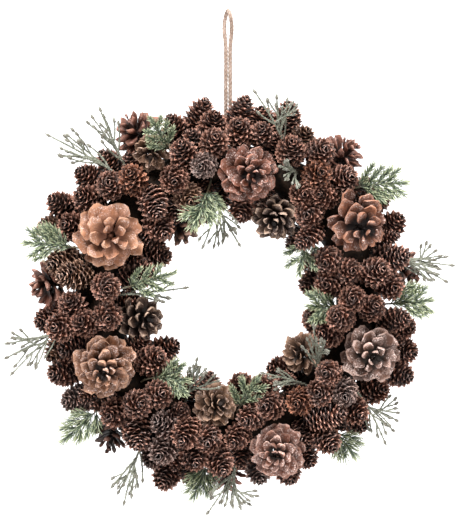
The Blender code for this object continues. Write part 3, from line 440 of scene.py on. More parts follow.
# %% The line of the twine
ROPE = 3.6
ROPE_APART = 4.4
LOOP_BEND = 6.8
LOOP_TURN = math.radians(66)
LOOP_NECK = (2.2, 20.0)
LOOP_SHOULDER = 7.5
ROPE_DEPTH = 16.0
KNOT_HEIGHT = 147.0
ROPE_START = 152.95
ROPE_RISES = (0, 32, 64, 96)
ROPE_STEPS = 3


def rope_depth(height):
    """How far behind the wreath's middle plane the twine hangs at this height."""
    below = (HOOK_TO_CENTRE - height) / (HOOK_TO_CENTRE - KNOT_HEIGHT)
    return ROPE_DEPTH * min(1.0, max(0.0, below))


def loop_path():
    """The twine's centre line: up from the knot, over the hook, and down again.

    The bend is turned about the upright, so the viewer sees it nearly edge on.
    """
    half = ROPE_APART / 2
    top = HOOK_TO_CENTRE + ROPE / 2
    up = [(half, 0.0, ROPE_START + rise) for rise in ROPE_RISES]
    up += [(half + LOOP_NECK[0], LOOP_TURN / 2, top - LOOP_NECK[1])]
    up += [(LOOP_BEND, LOOP_TURN, top - LOOP_SHOULDER), (0.0, LOOP_TURN, top)]
    sides = [np.array((-x * math.cos(turn), x * math.sin(turn), z)) for x, turn, z in up]
    sides += [point * (-1, -1, 1) for point in sides[-2::-1]]
    return smooth([point + (0, rope_depth(point[2]), 0) for point in sides], ROPE_STEPS)


rope_line = np.array(loop_path())


# %% Strands wound round a line
# Radii from a loose fibre's foot to its tip, and how far apart the fibres stand.
FIBRE = (0.09, 0.07, 0.03)
FIBRE_EVERY = 2.2


def even_points(line, step):
    """The same line with points this far apart."""
    line = np.array(line, dtype=float)
    travelled = np.concatenate(([0], np.cumsum(np.linalg.norm(np.diff(line, axis=0), axis=1))))
    marks = np.linspace(0, travelled[-1], max(2, int(travelled[-1] / step)))
    return np.array([[np.interp(m, travelled, line[:, axis]) for axis in range(3)] for m in marks]), marks


def twine_into(bm, line, thick, pitch=12.5, step=1.1, seed=0):
    """Winds three strands round a line, and lets a few fibres stand off them."""
    points, marks = even_points(line, step)
    frames = frames_along(points)
    strand, off = thick * 0.27, thick * 0.235
    for ply in range(3):
        turn = marks / pitch * math.tau + ply * math.tau / 3
        path = [
            Vector(p) + (side * math.cos(a) + up * math.sin(a)) * off
            for p, a, (side, up) in zip(points, turn, frames)
        ]
        tube_into(bm, path, [strand] * len(path))
    random = np.random.default_rng(seed)
    for _ in range(int(marks[-1] / FIBRE_EVERY)):
        k = random.integers(2, len(points) - 2)
        side, up = frames[k]
        a = random.uniform(0, math.tau)
        heading = Vector(points[k + 1] - points[k]).normalized() * random.choice((-1, 1))
        out = side * math.cos(a) + up * math.sin(a)
        start = Vector(points[k]) + out * thick * 0.4
        tip = start + out * random.uniform(0.4, 1.0) + heading * random.uniform(1.5, 3.5)
        tube_into(bm, [start, (start + tip) / 2 + out * 0.2, tip], FIBRE, sides=3)


# %% Jute finish
jute, tree, shader = new_finish("jute", roughness=0.92)
fibre = grain(tree, 0.7, 4.0, (1, 1, 0.25))
strand_tone = mix(tree, ramp(tree, fibre, 0.3, 0.7), (0.17, 0.112, 0.086, 1), (0.53, 0.415, 0.345, 1))
slow = mix(tree, ramp(tree, grain(tree, 9.0), 0.35, 0.65), (0.86, 0.82, 0.78, 1), (1.0, 1.0, 1.0, 1))
tree.links.new(mix(tree, 1.0, strand_tone, slow, "MULTIPLY"), shader.inputs["Base Color"])
bump_into(tree, shader, fibre, 0.6, 0.0003)
print("jute:", len(tree.nodes), "nodes")

# %% The loop itself
# Three strands leave hollows between them, so they are wound fuller to look as thick as the twine.
FULLNESS = 1.2
bm = marked_bmesh("along")
twine_into(bm, rope_line, ROPE * FULLNESS)
jute_loop = hang("jute_loop", bm, [jute], "hanging_loop")
print("jute loop:", made_triangles["jute_loop"], "triangles")

# %% [markdown]
# ## The knot
#
# Behind the ring the twine goes once round the vine and is tied. The knot is made of the same
# twisted strands, coiled round the two ends in a tight barrel, with two short tails.

# %% Knot and hitch
VINE_CREST = 16.6
RING_RADIUS = 131.0
SEAT_GAP = 0.35
BARREL_TURNS = 3
BARREL_SIZE = (4.3, 3.1, 6.4)
TAIL_TOP = 5.2
TAIL_END = 5.5
HITCH_FULLNESS = 0.96
BARREL_FULLNESS = 0.86

hitch_radius = VINE_CREST + SEAT_GAP + ROPE / 2
round_the_vine = [
    (0.3 * math.sin(a), hitch_radius * math.cos(a), RING_RADIUS + hitch_radius * math.sin(a))
    for a in np.linspace(0, math.tau, 49)
]
wide, deep, tall = BARREL_SIZE
shares = np.linspace(0, 1, 49)
barrel = [
    (wide * math.sin(a), ROPE_DEPTH + deep * math.cos(a), KNOT_HEIGHT + tall * (share - 0.5))
    for a, share in zip(shares * BARREL_TURNS * math.tau, shares)
]
tails = [
    [(side * 1.5, ROPE_DEPTH, KNOT_HEIGHT + TAIL_TOP), (side * 2.0, ROPE_DEPTH, KNOT_HEIGHT),
     (side * 1.6, ROPE_DEPTH - 0.5, KNOT_HEIGHT - TAIL_END)]
    for side in (-1, 1)
]
bm = marked_bmesh("along")
for seed, line in enumerate([round_the_vine, barrel, *tails]):
    fullness = BARREL_FULLNESS if line is barrel else HITCH_FULLNESS
    twine_into(bm, line, ROPE * fullness, seed=seed + 1)
hang("jute_knot", bm, [jute], "loop_knot")
print("knot:", made_triangles["jute_knot"], "triangles")

# %% [markdown]
# ## The vine ring
#
# The base of the wreath is three lengths of vine twisted into a ring. It is seen from the back and
# in gaps. Each vine is a tube of its own whose thickness swells and shrinks a little, as a grown
# stem's does, and the bark is drawn by noise that is stretched along the stem.

# %% Bark finish
bark, tree, shader = new_finish("vine_bark", roughness=0.85)
narrow = maths(tree, "MULTIPLY", carried(tree, "around"), 6.0)
where = place(tree, "ShaderNodeCombineXYZ", {0: narrow, 1: carried(tree, "along")}).outputs[0]
strips = place(tree, "ShaderNodeTexNoise", {"Vector": where, "Scale": 3.0, "Detail": 6.0}).outputs["Fac"]
brown = mix(tree, ramp(tree, strips, 0.35, 0.65), (0.035, 0.018, 0.010, 1), (0.20, 0.12, 0.07, 1))
worn = ramp(tree, grain(tree, 18.0), 0.5, 0.7)
tree.links.new(mix(tree, worn, brown, (0.26, 0.18, 0.11, 1)), shader.inputs["Base Color"])
bump_into(tree, shader, strips, 0.9, 0.001)
print("bark:", len(tree.nodes), "nodes")

# %% Three vines twisted into a ring
VINES = 3
VINE_TURNS = 6
VINE = 7.4
VINE_OFF = 8.6
VINE_STATIONS = 150
VINE_SIDES = 12

bm = marked_bmesh("along", "around")
along, around = bm.verts.layers.float["along"], bm.verts.layers.float["around"]
for stem in range(VINES):
    ring = bmesh.ops.create_circle(bm, segments=VINE_SIDES, radius=VINE, cap_ends=False)["verts"]
    edges = list({e for v in ring for e in v.link_edges})
    bmesh.ops.rotate(bm, verts=ring, matrix=Matrix.Rotation(math.pi / 2, 3, "X"))
    bmesh.ops.translate(bm, verts=ring, vec=(RING_RADIUS, 0, 0))
    bmesh.ops.spin(
        bm,
        geom=[*ring, *edges],
        cent=(0, 0, 0),
        axis=(0, 0, 1),
        angle=math.tau,
        steps=VINE_STATIONS,
        use_merge=True,
    )
    for v in bm.verts:
        if v[around] > 0:
            continue
        turn = math.atan2(v.co.y, v.co.x)
        section = math.atan2(v.co.z, math.hypot(v.co.x, v.co.y) - RING_RADIUS)
        swell = 1.0 + 0.12 * noise.noise(Vector((math.cos(turn), math.sin(turn), stem * 3.1)) * 4)
        swell += 0.07 * noise.noise(Vector((turn * 9, section * 2, stem * 7.7)))
        lay = turn * VINE_TURNS + stem * math.tau / VINES
        out = VINE_OFF * math.cos(lay) + VINE * swell * math.cos(section)
        deep = VINE_OFF * math.sin(lay) + VINE * swell * math.sin(section)
        v[along] = abs(turn) / math.pi * 20 + stem
        v[around] = abs(math.sin(section / 2)) + 0.01
        v.co = ((RING_RADIUS + out) * math.sin(turn), deep, (RING_RADIUS + out) * math.cos(turn))
bmesh.ops.recalc_face_normals(bm, faces=bm.faces)
hang("vine_stems", bm, [bark], "vine_ring")
print("vines:", made_triangles["vine_stems"], "triangles")

# %% [markdown]
# ## Where everything lies
#
# The lists below hold what was measured in the photograph: where each cone, sprig and spray shows,
# and how large it is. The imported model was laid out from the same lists, so that each fine piece lies
# where its solid lies.

# %% Cones, sprigs and sprays
# Large cones: name, middle of the disc, width, height, and how far the apex lies right of and above
# the middle of the disc.
LARGE_CONES = (
    ("upper_left", (110, 236), 73, 44, (4, 1)),
    ("top", (250, 175), 62, 48, (6, -3)),
    ("upper_right", (358, 224), 67, 50, (11, -10)),
    ("lower_left", (105, 367), 66, 48, (0, -8)),
    ("lower_right", (370, 354), 63, 47, (3, -4)),
    ("bottom", (277, 451), 59, 45, (-4, -4)),
)

# Middle-sized open cones: name, middle, width, height, and how much the axis points right, up and
# away from the viewer.
OPEN_CONES = (
    ("top_left", (136, 132), 42, 38, (-0.62, 0.62, -0.35)),
    ("top_left_low", (147, 160), 36, 34, (-0.15, -0.45, -0.8)),
    ("inner_top_left", (177, 226), 38, 36, (0.15, -0.85, -0.3)),
    ("top_right", (336, 158), 46, 38, (0.6, 0.45, -0.5)),
    ("inner_top_right", (281, 215), 46, 36, (-0.1, -0.45, -0.85)),
    ("far_left", (48, 287), 42, 38, (-0.85, -0.15, -0.35)),
    ("inner_left", (136, 318), 46, 38, (0.55, 0.0, -0.75)),
    ("inner_bottom_left", (207, 402), 44, 38, (0.2, 0.3, -0.85)),
    ("far_right", (403, 271), 37, 36, (0.75, -0.45, -0.35)),
    ("inner_right", (311, 357), 42, 38, (-0.6, -0.1, -0.65)),
    ("bottom_left", (112, 435), 40, 36, (-0.15, -0.85, -0.2)),
    ("bottom", (225, 470), 42, 34, (0.1, -0.9, 0.1)),
)

# Small cones, clockwise from the twine: where the tip shows, and where the root lies behind it.
SMALL_CONES = (
    ((246, 101), (227, 134)),
    ((236, 140), (238, 152)),
    ((259, 111), (266, 142)),
    ((289, 106), (289, 142)),
    ((312, 131), (298, 154)),
    ((291, 151), (290, 160)),
    ((271, 139), (270, 160)),
    ((312, 159), (306, 164)),
    ((322, 180), (316, 182)),
    ((344, 184), (332, 190)),
    ((303, 184), (304, 190)),
    ((313, 204), (316, 204)),
    ((242, 216), (236, 190)),
    ((318, 225), (322, 222)),
    ((388, 200), (362, 206)),
    ((401, 215), (378, 236)),
    ((331, 257), (340, 252)),
    ((307, 240), (328, 232)),
    ((396, 251), (370, 259)),
    ((380, 262), (370, 260)),
    ((362, 276), (356, 274)),
    ((385, 285), (373, 284)),
    ((303, 288), (326, 276)),
    ((333, 286), (342, 284)),
    ((354, 297), (352, 300)),
    ((399, 312), (372, 308)),
    ((341, 322), (350, 318)),
    ((366, 314), (362, 314)),
    ((306, 323), (326, 330)),
    ((319, 342), (334, 346)),
    ((409, 329), (384, 328)),
    ((414, 355), (388, 346)),
    ((404, 381), (378, 372)),
    ((336, 372), (342, 366)),
    ((312, 388), (322, 386)),
    ((341, 393), (342, 388)),
    ((380, 386), (356, 378)),
    ((362, 405), (352, 394)),
    ((276, 369), (302, 382)),
    ((300, 398), (308, 396)),
    ((364, 425), (340, 410)),
    ((338, 404), (302, 428)),
    ((330, 444), (318, 424)),
    ((308, 447), (308, 428)),
    ((268, 387), (280, 398)),
    ((263, 412), (288, 402)),
    ((300, 466), (292, 440)),
    ((234, 383), (240, 400)),
    ((233, 425), (258, 412)),
    ((243, 451), (244, 438)),
    ((217, 434), (222, 428)),
    ((252, 480), (248, 452)),
    ((230, 460), (226, 440)),
    ((204, 459), (200, 440)),
    ((188, 487), (182, 452)),
    ((190, 443), (186, 430)),
    ((158, 474), (166, 450)),
    ((150, 411), (176, 424)),
    ((158, 451), (164, 440)),
    ((146, 466), (152, 438)),
    ((165, 392), (172, 404)),
    ((142, 447), (140, 410)),
    ((140, 388), (136, 398)),
    ((110, 409), (122, 402)),
    ((62, 400), (90, 392)),
    ((51, 374), (76, 372)),
    ((160, 357), (140, 366)),
    ((177, 341), (141, 350)),
    ((50, 360), (80, 326)),
    ((36, 318), (66, 314)),
    ((64, 320), (74, 318)),
    ((98, 334), (100, 326)),
    ((101, 315), (100, 310)),
    ((71, 302), (82, 300)),
    ((108, 296), (106, 294)),
    ((137, 274), (106, 276)),
    ((64, 281), (96, 272)),
    ((54, 261), (82, 256)),
    ((170, 257), (140, 252)),
    ((160, 234), (146, 214)),
    ((46, 224), (70, 232)),
    ((66, 225), (78, 226)),
    ((153, 222), (144, 196)),
    ((55, 198), (82, 218)),
    ((76, 201), (92, 208)),
    ((80, 176), (108, 192)),
    ((117, 195), (122, 200)),
    ((97, 158), (114, 186)),
    ((129, 171), (134, 184)),
    ((174, 181), (164, 178)),
    ((190, 201), (184, 190)),
    ((186, 148), (194, 172)),
    ((206, 170), (204, 162)),
    ((174, 115), (192, 144)),
    ((207, 103), (190, 138)),
    ((222, 141), (218, 152)),
    ((220, 114), (214, 140)),
)

# Needle sprigs: name, where the stem comes out of the cones, its tip, how far forward the tip lies,
# and the needles' length.
NEEDLE_SPRIGS = (
    ("top_left", (171, 151), (152, 121), -70, 14),
    ("upper_left", (80, 247), (28, 243), -34, 18),
    ("inner_top", (212, 182), (196, 222), -72, 20),
    ("upper_right", (351, 184), (404, 183), -34, 17),
    ("inner_upper_right", (306, 233), (299, 272), -52, 17),
    ("inner_left", (122, 291), (174, 273), -58, 14),
    ("inner_lower_left", (149, 374), (186, 379), -58, 18),
    ("inner_right", (341, 306), (310, 306), -52, 17),
    ("right", (389, 305), (428, 300), -38, 17),
    ("inner_bottom", (235, 411), (257, 378), -60, 15),
    ("bottom_right", (338, 436), (352, 452), -16, 17),
    ("bottom_left", (92, 416), (66, 438), -16, 16),
    ("bottom", (207, 472), (195, 494), -12, 16),
)

# Sprays of budded twigs: name, where the stems come out of the cones, how far forward the tips lie,
# and the tips.
BUD_SPRAYS = (
    ("left_of_top", (113, 168), -30, ((44, 133), (64, 132), (57, 147), (65, 156), (80, 137))),
    ("top_left", (121, 162), -44, ((101, 134), (90, 114), (99, 106))),
    ("inner_top", (214, 204), -36, ((201, 251), (213, 251), (224, 243), (237, 233), (242, 249))),
    ("top_right", (291, 144), -58, ((252, 89), (276, 94), (294, 101), (298, 110))),
    ("upper_right", (299, 170), -76, ((284, 160), (277, 167), (284, 182), (297, 190))),
    ("right", (395, 250), -30, ((427, 238), (445, 255), (457, 266), (443, 270), (450, 284), (431, 283))),
    ("inner_left", (126, 296), -48, ((191, 287), (173, 298), (161, 302))),
    ("left", (60, 322), -24, ((9, 330), (3, 344), (2, 360), (9, 377), (29, 368))),
    ("inner_lower_left", (190, 392), -70, ((198, 355), (194, 362), (208, 366), (222, 379))),
    ("inner_right", (319, 376), -76, ((312, 321), (305, 335), (320, 336), (330, 350))),
    ("inner_bottom", (303, 381), -66, ((258, 371), (271, 385))),
    ("bottom_right", (366, 397), -24, ((399, 395), (403, 413), (397, 434), (387, 447))),
    ("bottom_left", (135, 451), -18, ((110, 488), (116, 497), (123, 508), (132, 493), (140, 480))),
    ("bottom", (243, 464), -40, ((205, 516), (218, 506), (233, 510), (242, 511), (252, 502), (262, 496))),
)
print(len(SMALL_CONES), "small cones,", len(OPEN_CONES), "open,", len(LARGE_CONES), "large")

# %% [markdown]
# ## The glue bed
#
# Hot glue covers the front of the vine and holds everything. Its section is a wide C, swept along
# the ring by a spin, in twelve lengths that touch end to end. The plain version is what stems and
# cones are seated on. The shown version has more steps and an uneven skin, as hot glue has.

# %% Sweep the bed
CLUSTERS = 12
BED_INSIDE = 19.0
BED_OUTSIDE = 23.2
BED_SPREAD = math.radians(112)
BED_END_GAP = 0.4
ROPE_GAP = 3.2


def bed_into(bm, cluster, steps_round, steps_along, end_gap=BED_END_GAP):
    """The glue under one cluster, as a C-shaped section spun along its share of the ring."""
    first = ROPE_GAP if cluster == 0 else end_gap
    last = ROPE_GAP if cluster == CLUSTERS - 1 else end_gap
    start = cluster * math.tau / CLUSTERS + first / RING_RADIUS
    end = (cluster + 1) * math.tau / CLUSTERS - last / RING_RADIUS
    angles = np.linspace(-BED_SPREAD, BED_SPREAD, steps_round + 1)
    outside = [(RING_RADIUS + BED_OUTSIDE * math.sin(a), -BED_OUTSIDE * math.cos(a)) for a in angles]
    inside = [(RING_RADIUS + BED_INSIDE * math.sin(a), -BED_INSIDE * math.cos(a)) for a in angles[::-1]]
    turn = Matrix.Rotation(start, 3, "Y")
    corners = [bm.verts.new(turn @ Vector((0, y, r))) for r, y in outside + inside]
    section = bm.faces.new(corners)
    bmesh.ops.spin(
        bm,
        geom=[section, *section.verts, *section.edges],
        cent=(0, 0, 0),
        axis=(0, 1, 0),
        angle=end - start,
        steps=steps_along,
    )
    bmesh.ops.recalc_face_normals(bm, faces=bm.faces)


whole_bed = bmesh.new()
for cluster in range(CLUSTERS):
    bed_into(whole_bed, cluster, 5, 3)
bed_surface = BVHTree.FromBMesh(whole_bed)
whole_bed.free()
print("glue bed in", CLUSTERS, "lengths")

# %% [markdown]
# ## Laying the cones
#
# A photograph gives where a cone shows, and not how deep it lies. So each cone is first laid on the
# ring by its length, and then all of them are pushed off each other, off the stems and off the ring,
# a little at a time, which is what a maker's hands do. Each cone is a row of balls for this. Cones of
# one cluster may nest into each other.

# %% Seats and angles
STEM_GAP = 0.6


def off_ring(points):
    """For points: the nearest point of the ring's centre line, and the distance to it."""
    flat = points * (1, 0, 1)
    centre = flat / np.maximum(np.linalg.norm(flat, axis=-1, keepdims=True), 1e-9) * RING_RADIUS
    return centre, np.linalg.norm(points - centre, axis=-1)


def seat(point, gap):
    """The point this far off the bed's surface that is nearest to the given point."""
    nearest = np.array(bed_surface.find_nearest(Vector(point))[0])
    return nearest + (point - nearest) * gap / np.linalg.norm(point - nearest)


def clock(point):
    """The angle clockwise from the top of the wreath."""
    return math.atan2(point[0], point[2]) % math.tau


# %% A cone's place
SMALL_LENGTH = 47.0
SMALL_GIRTH = 30.0
LARGE_BASE_DEPTH = -26.0


class Cone:
    """A cone of any kind: its root, its tip, its girth and the balls that stand for its bulk."""

    def __init__(self, cluster, root, tip, girth, stations, shares):
        self.cluster = cluster
        self.root = root
        self.tip = tip
        self.length = float(np.linalg.norm(tip - root))
        self.girth = girth
        self.stations = np.array(stations)
        self.shares = np.array(shares)

    def widened(self, times):
        """The same cone with another girth."""
        return Cone(self.cluster, self.root, self.tip, self.girth * times, self.stations, self.shares)

    def balls(self):
        """Centres and radii of the balls along the axis."""
        centres = self.root + self.stations[:, None] * (self.tip - self.root)
        return centres, self.girth / 2 * self.shares


def small_cone(tip_pixel, root_pixel):
    """A small cone laid over the ring: it stands out of the picture by what its length has over."""
    tip, root = spot(tip_pixel), spot(root_pixel)
    seen = np.linalg.norm(tip - root)
    length = max(SMALL_LENGTH, seen * 1.06)
    rise = math.sqrt(length**2 - seen**2)
    middle = (tip + root) / 2
    across = np.linalg.norm(middle) - RING_RADIUS
    lie = BED_OUTSIDE + 12.0 + 8.0 * rise / length
    depth = -math.sqrt(max(lie**2 - across**2, 1.0))
    tip[1], root[1] = depth - rise / 2, depth + rise / 2
    cluster = int(clock(middle) / math.tau * CLUSTERS)
    stations, shares = (0.18, 0.36, 0.55, 0.73, 0.89), (0.86, 0.98, 0.98, 0.84, 0.52)
    return Cone(cluster, root, tip, SMALL_GIRTH, stations, shares)


def open_cone(order, pixel, girth, height, direction):
    """A middle-sized cone, lying so that its own middle shows at this point of the photograph."""
    axis = unit(np.array((direction[0], direction[2], direction[1])))
    middle = spot(pixel)
    across = np.linalg.norm(middle) - RING_RADIUS
    lie = BED_OUTSIDE + girth * 0.48
    middle[1] = -math.sqrt(max(lie**2 - across**2, 1.0))
    root = middle - axis * height * 0.45
    stations, shares = (0.25, 0.48, 0.7), (0.8, 0.98, 0.8)
    return Cone(CLUSTERS + order, root, root + axis * height, girth, stations, shares)


def large_cone(pixel, girth, height, apex):
    """A large cone, whose open face looks at the viewer and leans towards its apex."""
    lean_x, lean_z = apex[0] / (height / 2), apex[1] / (height / 2)
    axis = np.array((lean_x, -math.sqrt(1 - lean_x**2 - lean_z**2), lean_z))
    root = spot(pixel) - axis * height * 0.38
    root[1] = LARGE_BASE_DEPTH - 0.3 * girth * math.hypot(lean_x, lean_z)
    return Cone(None, root, root + axis * height, girth, (0.3, 0.6), (0.55, 0.5))


# %% What the cones are kept off
RIM_BALLS = 10
RIM_BALL = 0.185
STALK_BALLS = (9.0, 7.0, 5.0, 3.5)
NEEDLE_STEM = 1.1
TWIG = 0.9
BEAD_MARGIN = 0.6
# How far off the ring's line a stem comes out between the cones, and how much flatter in depth.
STEM_OUT = 50.0
STEM_FLATTER = 0.8
MOST_LEAN = 0.9


def rim_balls(cone):
    """The balls that stand for a large cone: its middle, a circle of them under its rim, its stalk."""
    axis = (cone.tip - cone.root) / cone.length
    side = unit(np.cross(axis, (0, 0, 1)))
    up = np.cross(side, axis)
    centres, radii = cone.balls()
    for out, height in ((0.33, 0.22), (0.33, 0.5), (0.2, 0.75)):
        for k in range(RIM_BALLS):
            turn = k * math.tau / RIM_BALLS
            sideways = math.cos(turn) * side + math.sin(turn) * up
            centre = cone.root + axis * cone.length * height + sideways * cone.girth * out
            centres = np.vstack((centres, centre))
            radii = np.append(radii, cone.girth * RIM_BALL)
    foot = seat(cone.root, SEAT_GAP)
    stalk = [cone.root + (foot - cone.root) * share for share in (0.0, 0.35, 0.7, 1.0)]
    return np.vstack((centres, stalk)), np.append(radii, STALK_BALLS)


def stem_path(root_pixel, tip_pixel, depth, steps):
    """A stem that leaves the glue, comes out between the cones at one spot, and ends at another."""
    out = spot(root_pixel)
    tip = spot(tip_pixel, depth)
    across = np.linalg.norm(out) - RING_RADIUS
    lean = max(-MOST_LEAN, min(MOST_LEAN, across / STEM_OUT))
    out[1] = -STEM_OUT * math.sqrt(1 - lean**2) * STEM_FLATTER
    return bend(seat(out, STEM_GAP), out, tip, steps)


def spray_lines(root_pixel, depth, tips):
    """The lines of a spray: a main stem to the furthest tip, and a twig to each of the others."""
    out = spot(root_pixel)
    ends = sorted(tips, key=lambda tip: -np.linalg.norm(spot(tip) - out))
    main = stem_path(root_pixel, ends[0], depth, 5)
    lines = [main]
    for k, tip in enumerate(ends[1:]):
        share = 1 + 2 * (k + 1) / len(ends)
        start = main[int(share)] + (main[int(share) + 1] - main[int(share)]) * (share % 1)
        lines.append(np.array((start, spot(tip, depth + 3.0 * (-1) ** k))))
    return lines


def beads(path, radius):
    """Balls along a stem, as an obstacle."""
    fine = []
    for a, b in zip(path[:-1], path[1:]):
        count = max(2, int(np.linalg.norm(b - a) / radius))
        fine += [a + (b - a) * k / count for k in range(count)]
    fine.append(path[-1])
    return np.array(fine), np.full(len(fine), radius)


# %% Push them apart
CLEAR = 0.5
NEST = 6.0
BACK_PLANE = 21.0
SETTLE_ROUNDS = 160
YIELD = (0.5, 1.0, 0.5)
PULL_HOME = 0.06


def settle(cones, walls, wall_radii):
    """Pushes the cones off each other, off the stems and off the ring."""
    count = np.array([len(c.stations) for c in cones])
    owner = np.repeat(np.arange(len(cones)), count)
    along = np.concatenate([c.stations for c in cones])
    radius = np.concatenate([c.balls()[1] for c in cones])
    cluster = np.array([c.cluster for c in cones])[owner]
    length = np.array([c.length for c in cones])
    root = np.array([c.root for c in cones])
    tip = np.array([c.tip for c in cones])
    root_home, tip_home = root.copy(), tip.copy()
    nested = cluster[:, None] == cluster[None, :]
    want = radius[:, None] + radius[None, :] + np.where(nested, -NEST, CLEAR)
    want[owner[:, None] == owner[None, :]] = -1.0
    wall_want = radius[:, None] + wall_radii[None, :] + CLEAR
    small = cluster < CLUSTERS
    floor = np.where(small, BED_INSIDE + radius + CLEAR, BED_OUTSIDE + radius + CLEAR)
    width = math.tau / CLUSTERS
    for done in range(SETTLE_ROUNDS):
        pull = PULL_HOME * max(0.0, 1 - 1.5 * done / SETTLE_ROUNDS)
        ball = root[owner] + along[:, None] * (tip - root)[owner]
        apart = ball[:, None] - ball[None, :]
        distance = np.linalg.norm(apart, axis=2) + 1e-9
        press = np.maximum(want - distance, 0) * 0.5
        push = (apart / distance[..., None] * press[..., None]).sum(axis=1)
        touches = (press > 0).sum(axis=1)
        apart = ball[:, None] - walls[None, :]
        distance = np.linalg.norm(apart, axis=2) + 1e-9
        press = np.maximum(wall_want - distance, 0)
        push += (apart / distance[..., None] * press[..., None]).sum(axis=1)
        touches += (press > 0).sum(axis=1)
        centre, distance = off_ring(ball)
        press = np.maximum(floor - distance, 0)
        push += (ball - centre) / distance[:, None] * press[:, None]
        touches += press > 0
        press = np.maximum(ball[:, 1] + radius - BACK_PLANE, 0)
        push[:, 1] -= press
        touches += press > 0
        push *= YIELD
        low = distance < BED_OUTSIDE + radius + CLEAR
        for side in (0, 1):
            edge = (cluster + side) * width
            normal = np.stack((np.cos(edge), 0 * edge, -np.sin(edge)), axis=1) * (1 - 2 * side)
            inside = (ball * normal).sum(axis=1)
            press = np.where(small & low, np.maximum(radius + CLEAR - inside, 0), 0)
            push += normal * press[:, None]
            touches += press > 0
        push = push / np.maximum(touches, 1)[:, None]
        root = root + (root_home - root) * pull
        tip = tip + (tip_home - tip) * pull
        np.add.at(root, owner, push * (1 - along)[:, None])
        np.add.at(tip, owner, push * along[:, None])
        middle, slope = (root + tip) / 2, tip - root
        slope = slope / np.linalg.norm(slope, axis=1, keepdims=True) * length[:, None] / 2
        root, tip = middle - slope, middle + slope
    for cone, r, t in zip(cones, root, tip):
        cone.root, cone.tip = r, t


def slim(cones, walls, wall_radii):
    """Slims each cone that still presses on something outside its own cluster."""
    boxes = [c.balls() for c in cones]
    share = np.ones(len(cones))
    for i, (centres, radii) in enumerate(boxes):
        distance = np.linalg.norm(centres[:, None] - walls[None, :], axis=2)
        share[i] = min(share[i], ((distance - CLEAR - wall_radii[None, :]) / radii[:, None]).min())
        for j, (others, more) in enumerate(boxes):
            if i != j and cones[i].cluster != cones[j].cluster:
                distance = np.linalg.norm(centres[:, None] - others[None, :], axis=2)
                share[i] = min(share[i], ((distance - CLEAR) / (radii[:, None] + more[None, :])).min())
    for cone, s in zip(cones, share):
        cone.girth *= s


# %% Tuck further cones into the gaps
SUNK_ROOT = 19.8
TUCKED_LENGTH = 37.0
TUCKED_LEAST = 19.0
TUCKED_STATIONS = (0.3, 0.55, 0.8)
TUCKED_SHARES = (0.9, 1.0, 0.72)
TUCK_TURNS = 144
TUCK_SECTIONS = 15
TUCK_SPREAD = math.radians(78)


def tuck(cones, walls, wall_radii):
    """Small cones that stand upright on the bed wherever there is still room for one, widest first."""
    turn = np.arange(TUCK_TURNS) * math.tau / TUCK_TURNS
    section = np.linspace(-TUCK_SPREAD, TUCK_SPREAD, TUCK_SECTIONS)
    turn, section = (grid.ravel() for grid in np.meshgrid(turn, section))
    outward = np.stack((np.sin(turn), 0 * turn, np.cos(turn)), axis=1)
    normal = outward * np.sin(section)[:, None] - np.cos(section)[:, None] * (0, 1, 0)
    root = outward * RING_RADIUS + normal * SUNK_ROOT
    cluster = (turn / math.tau * CLUSTERS).astype(int)
    shares = np.array(TUCKED_SHARES)
    balls = root[:, None] + normal[:, None] * (np.array(TUCKED_STATIONS) * TUCKED_LENGTH)[:, None]
    from_edge = np.abs((turn * CLUSTERS / math.tau) % 1.0 - np.array(((0.0,), (1.0,)))).min(axis=0)
    beside = np.sin(from_edge * math.tau / CLUSTERS) * np.hypot(balls[:, 0, 0], balls[:, 0, 2]) - CLEAR
    behind = (BACK_PLANE - balls[:, :, 1]) / shares
    girth = 2 * np.minimum(np.minimum(beside / shares[0], behind.min(axis=1)), SMALL_GIRTH / 2)

    def room(points, radii, margins):
        """The girth that each place has room for beside these balls."""
        distance = np.linalg.norm(balls[:, :, None] - points[None, None], axis=3)
        return 2 * ((distance - radii - margins) / shares[:, None]).min(axis=(1, 2))

    girth = np.minimum(girth, room(walls, wall_radii, CLEAR))
    for cone in cones:
        margins = np.where(cluster == cone.cluster, -NEST, CLEAR)[:, None, None]
        girth = np.minimum(girth, room(*cone.balls(), margins))
    tucked = []
    while girth.max() > TUCKED_LEAST:
        best = int(girth.argmax())
        tip = root[best] + normal[best] * TUCKED_LENGTH
        cone = Cone(int(cluster[best]), root[best], tip, girth[best], TUCKED_STATIONS, shares)
        margins = np.where(cluster == cone.cluster, -NEST, CLEAR)[:, None, None]
        girth = np.minimum(girth, room(*cone.balls(), margins))
        tucked.append(cone)
    return tucked


# %% Lay everything out
large = [large_cone(*spec[1:]) for spec in LARGE_CONES]
opened = [open_cone(k, *spec[1:]) for k, spec in enumerate(OPEN_CONES)]
small = [small_cone(tip, root) for tip, root in SMALL_CONES]
sprig_paths = [stem_path(root, tip, depth, 7) for _, root, tip, depth, _ in NEEDLE_SPRIGS]
sprays = [spray_lines(root, depth, tips) for _, root, depth, tips in BUD_SPRAYS]

walls = [rim_balls(cone) for cone in large]
walls += [beads(path, NEEDLE_STEM + BEAD_MARGIN) for path in sprig_paths]
walls += [beads(line, TWIG + BEAD_MARGIN) for lines in sprays for line in lines]
walls += [beads(rope_line, ROPE / 2)]
wall_points = np.vstack([w[0] for w in walls])
wall_radii = np.concatenate([w[1] for w in walls])
settle(opened + small, wall_points, wall_radii)
slim(opened + small, wall_points, wall_radii)
tucked = tuck(opened + small, wall_points, wall_radii)
small += tucked
print(len(small), "small cones laid,", len(tucked), "of them tucked into gaps")

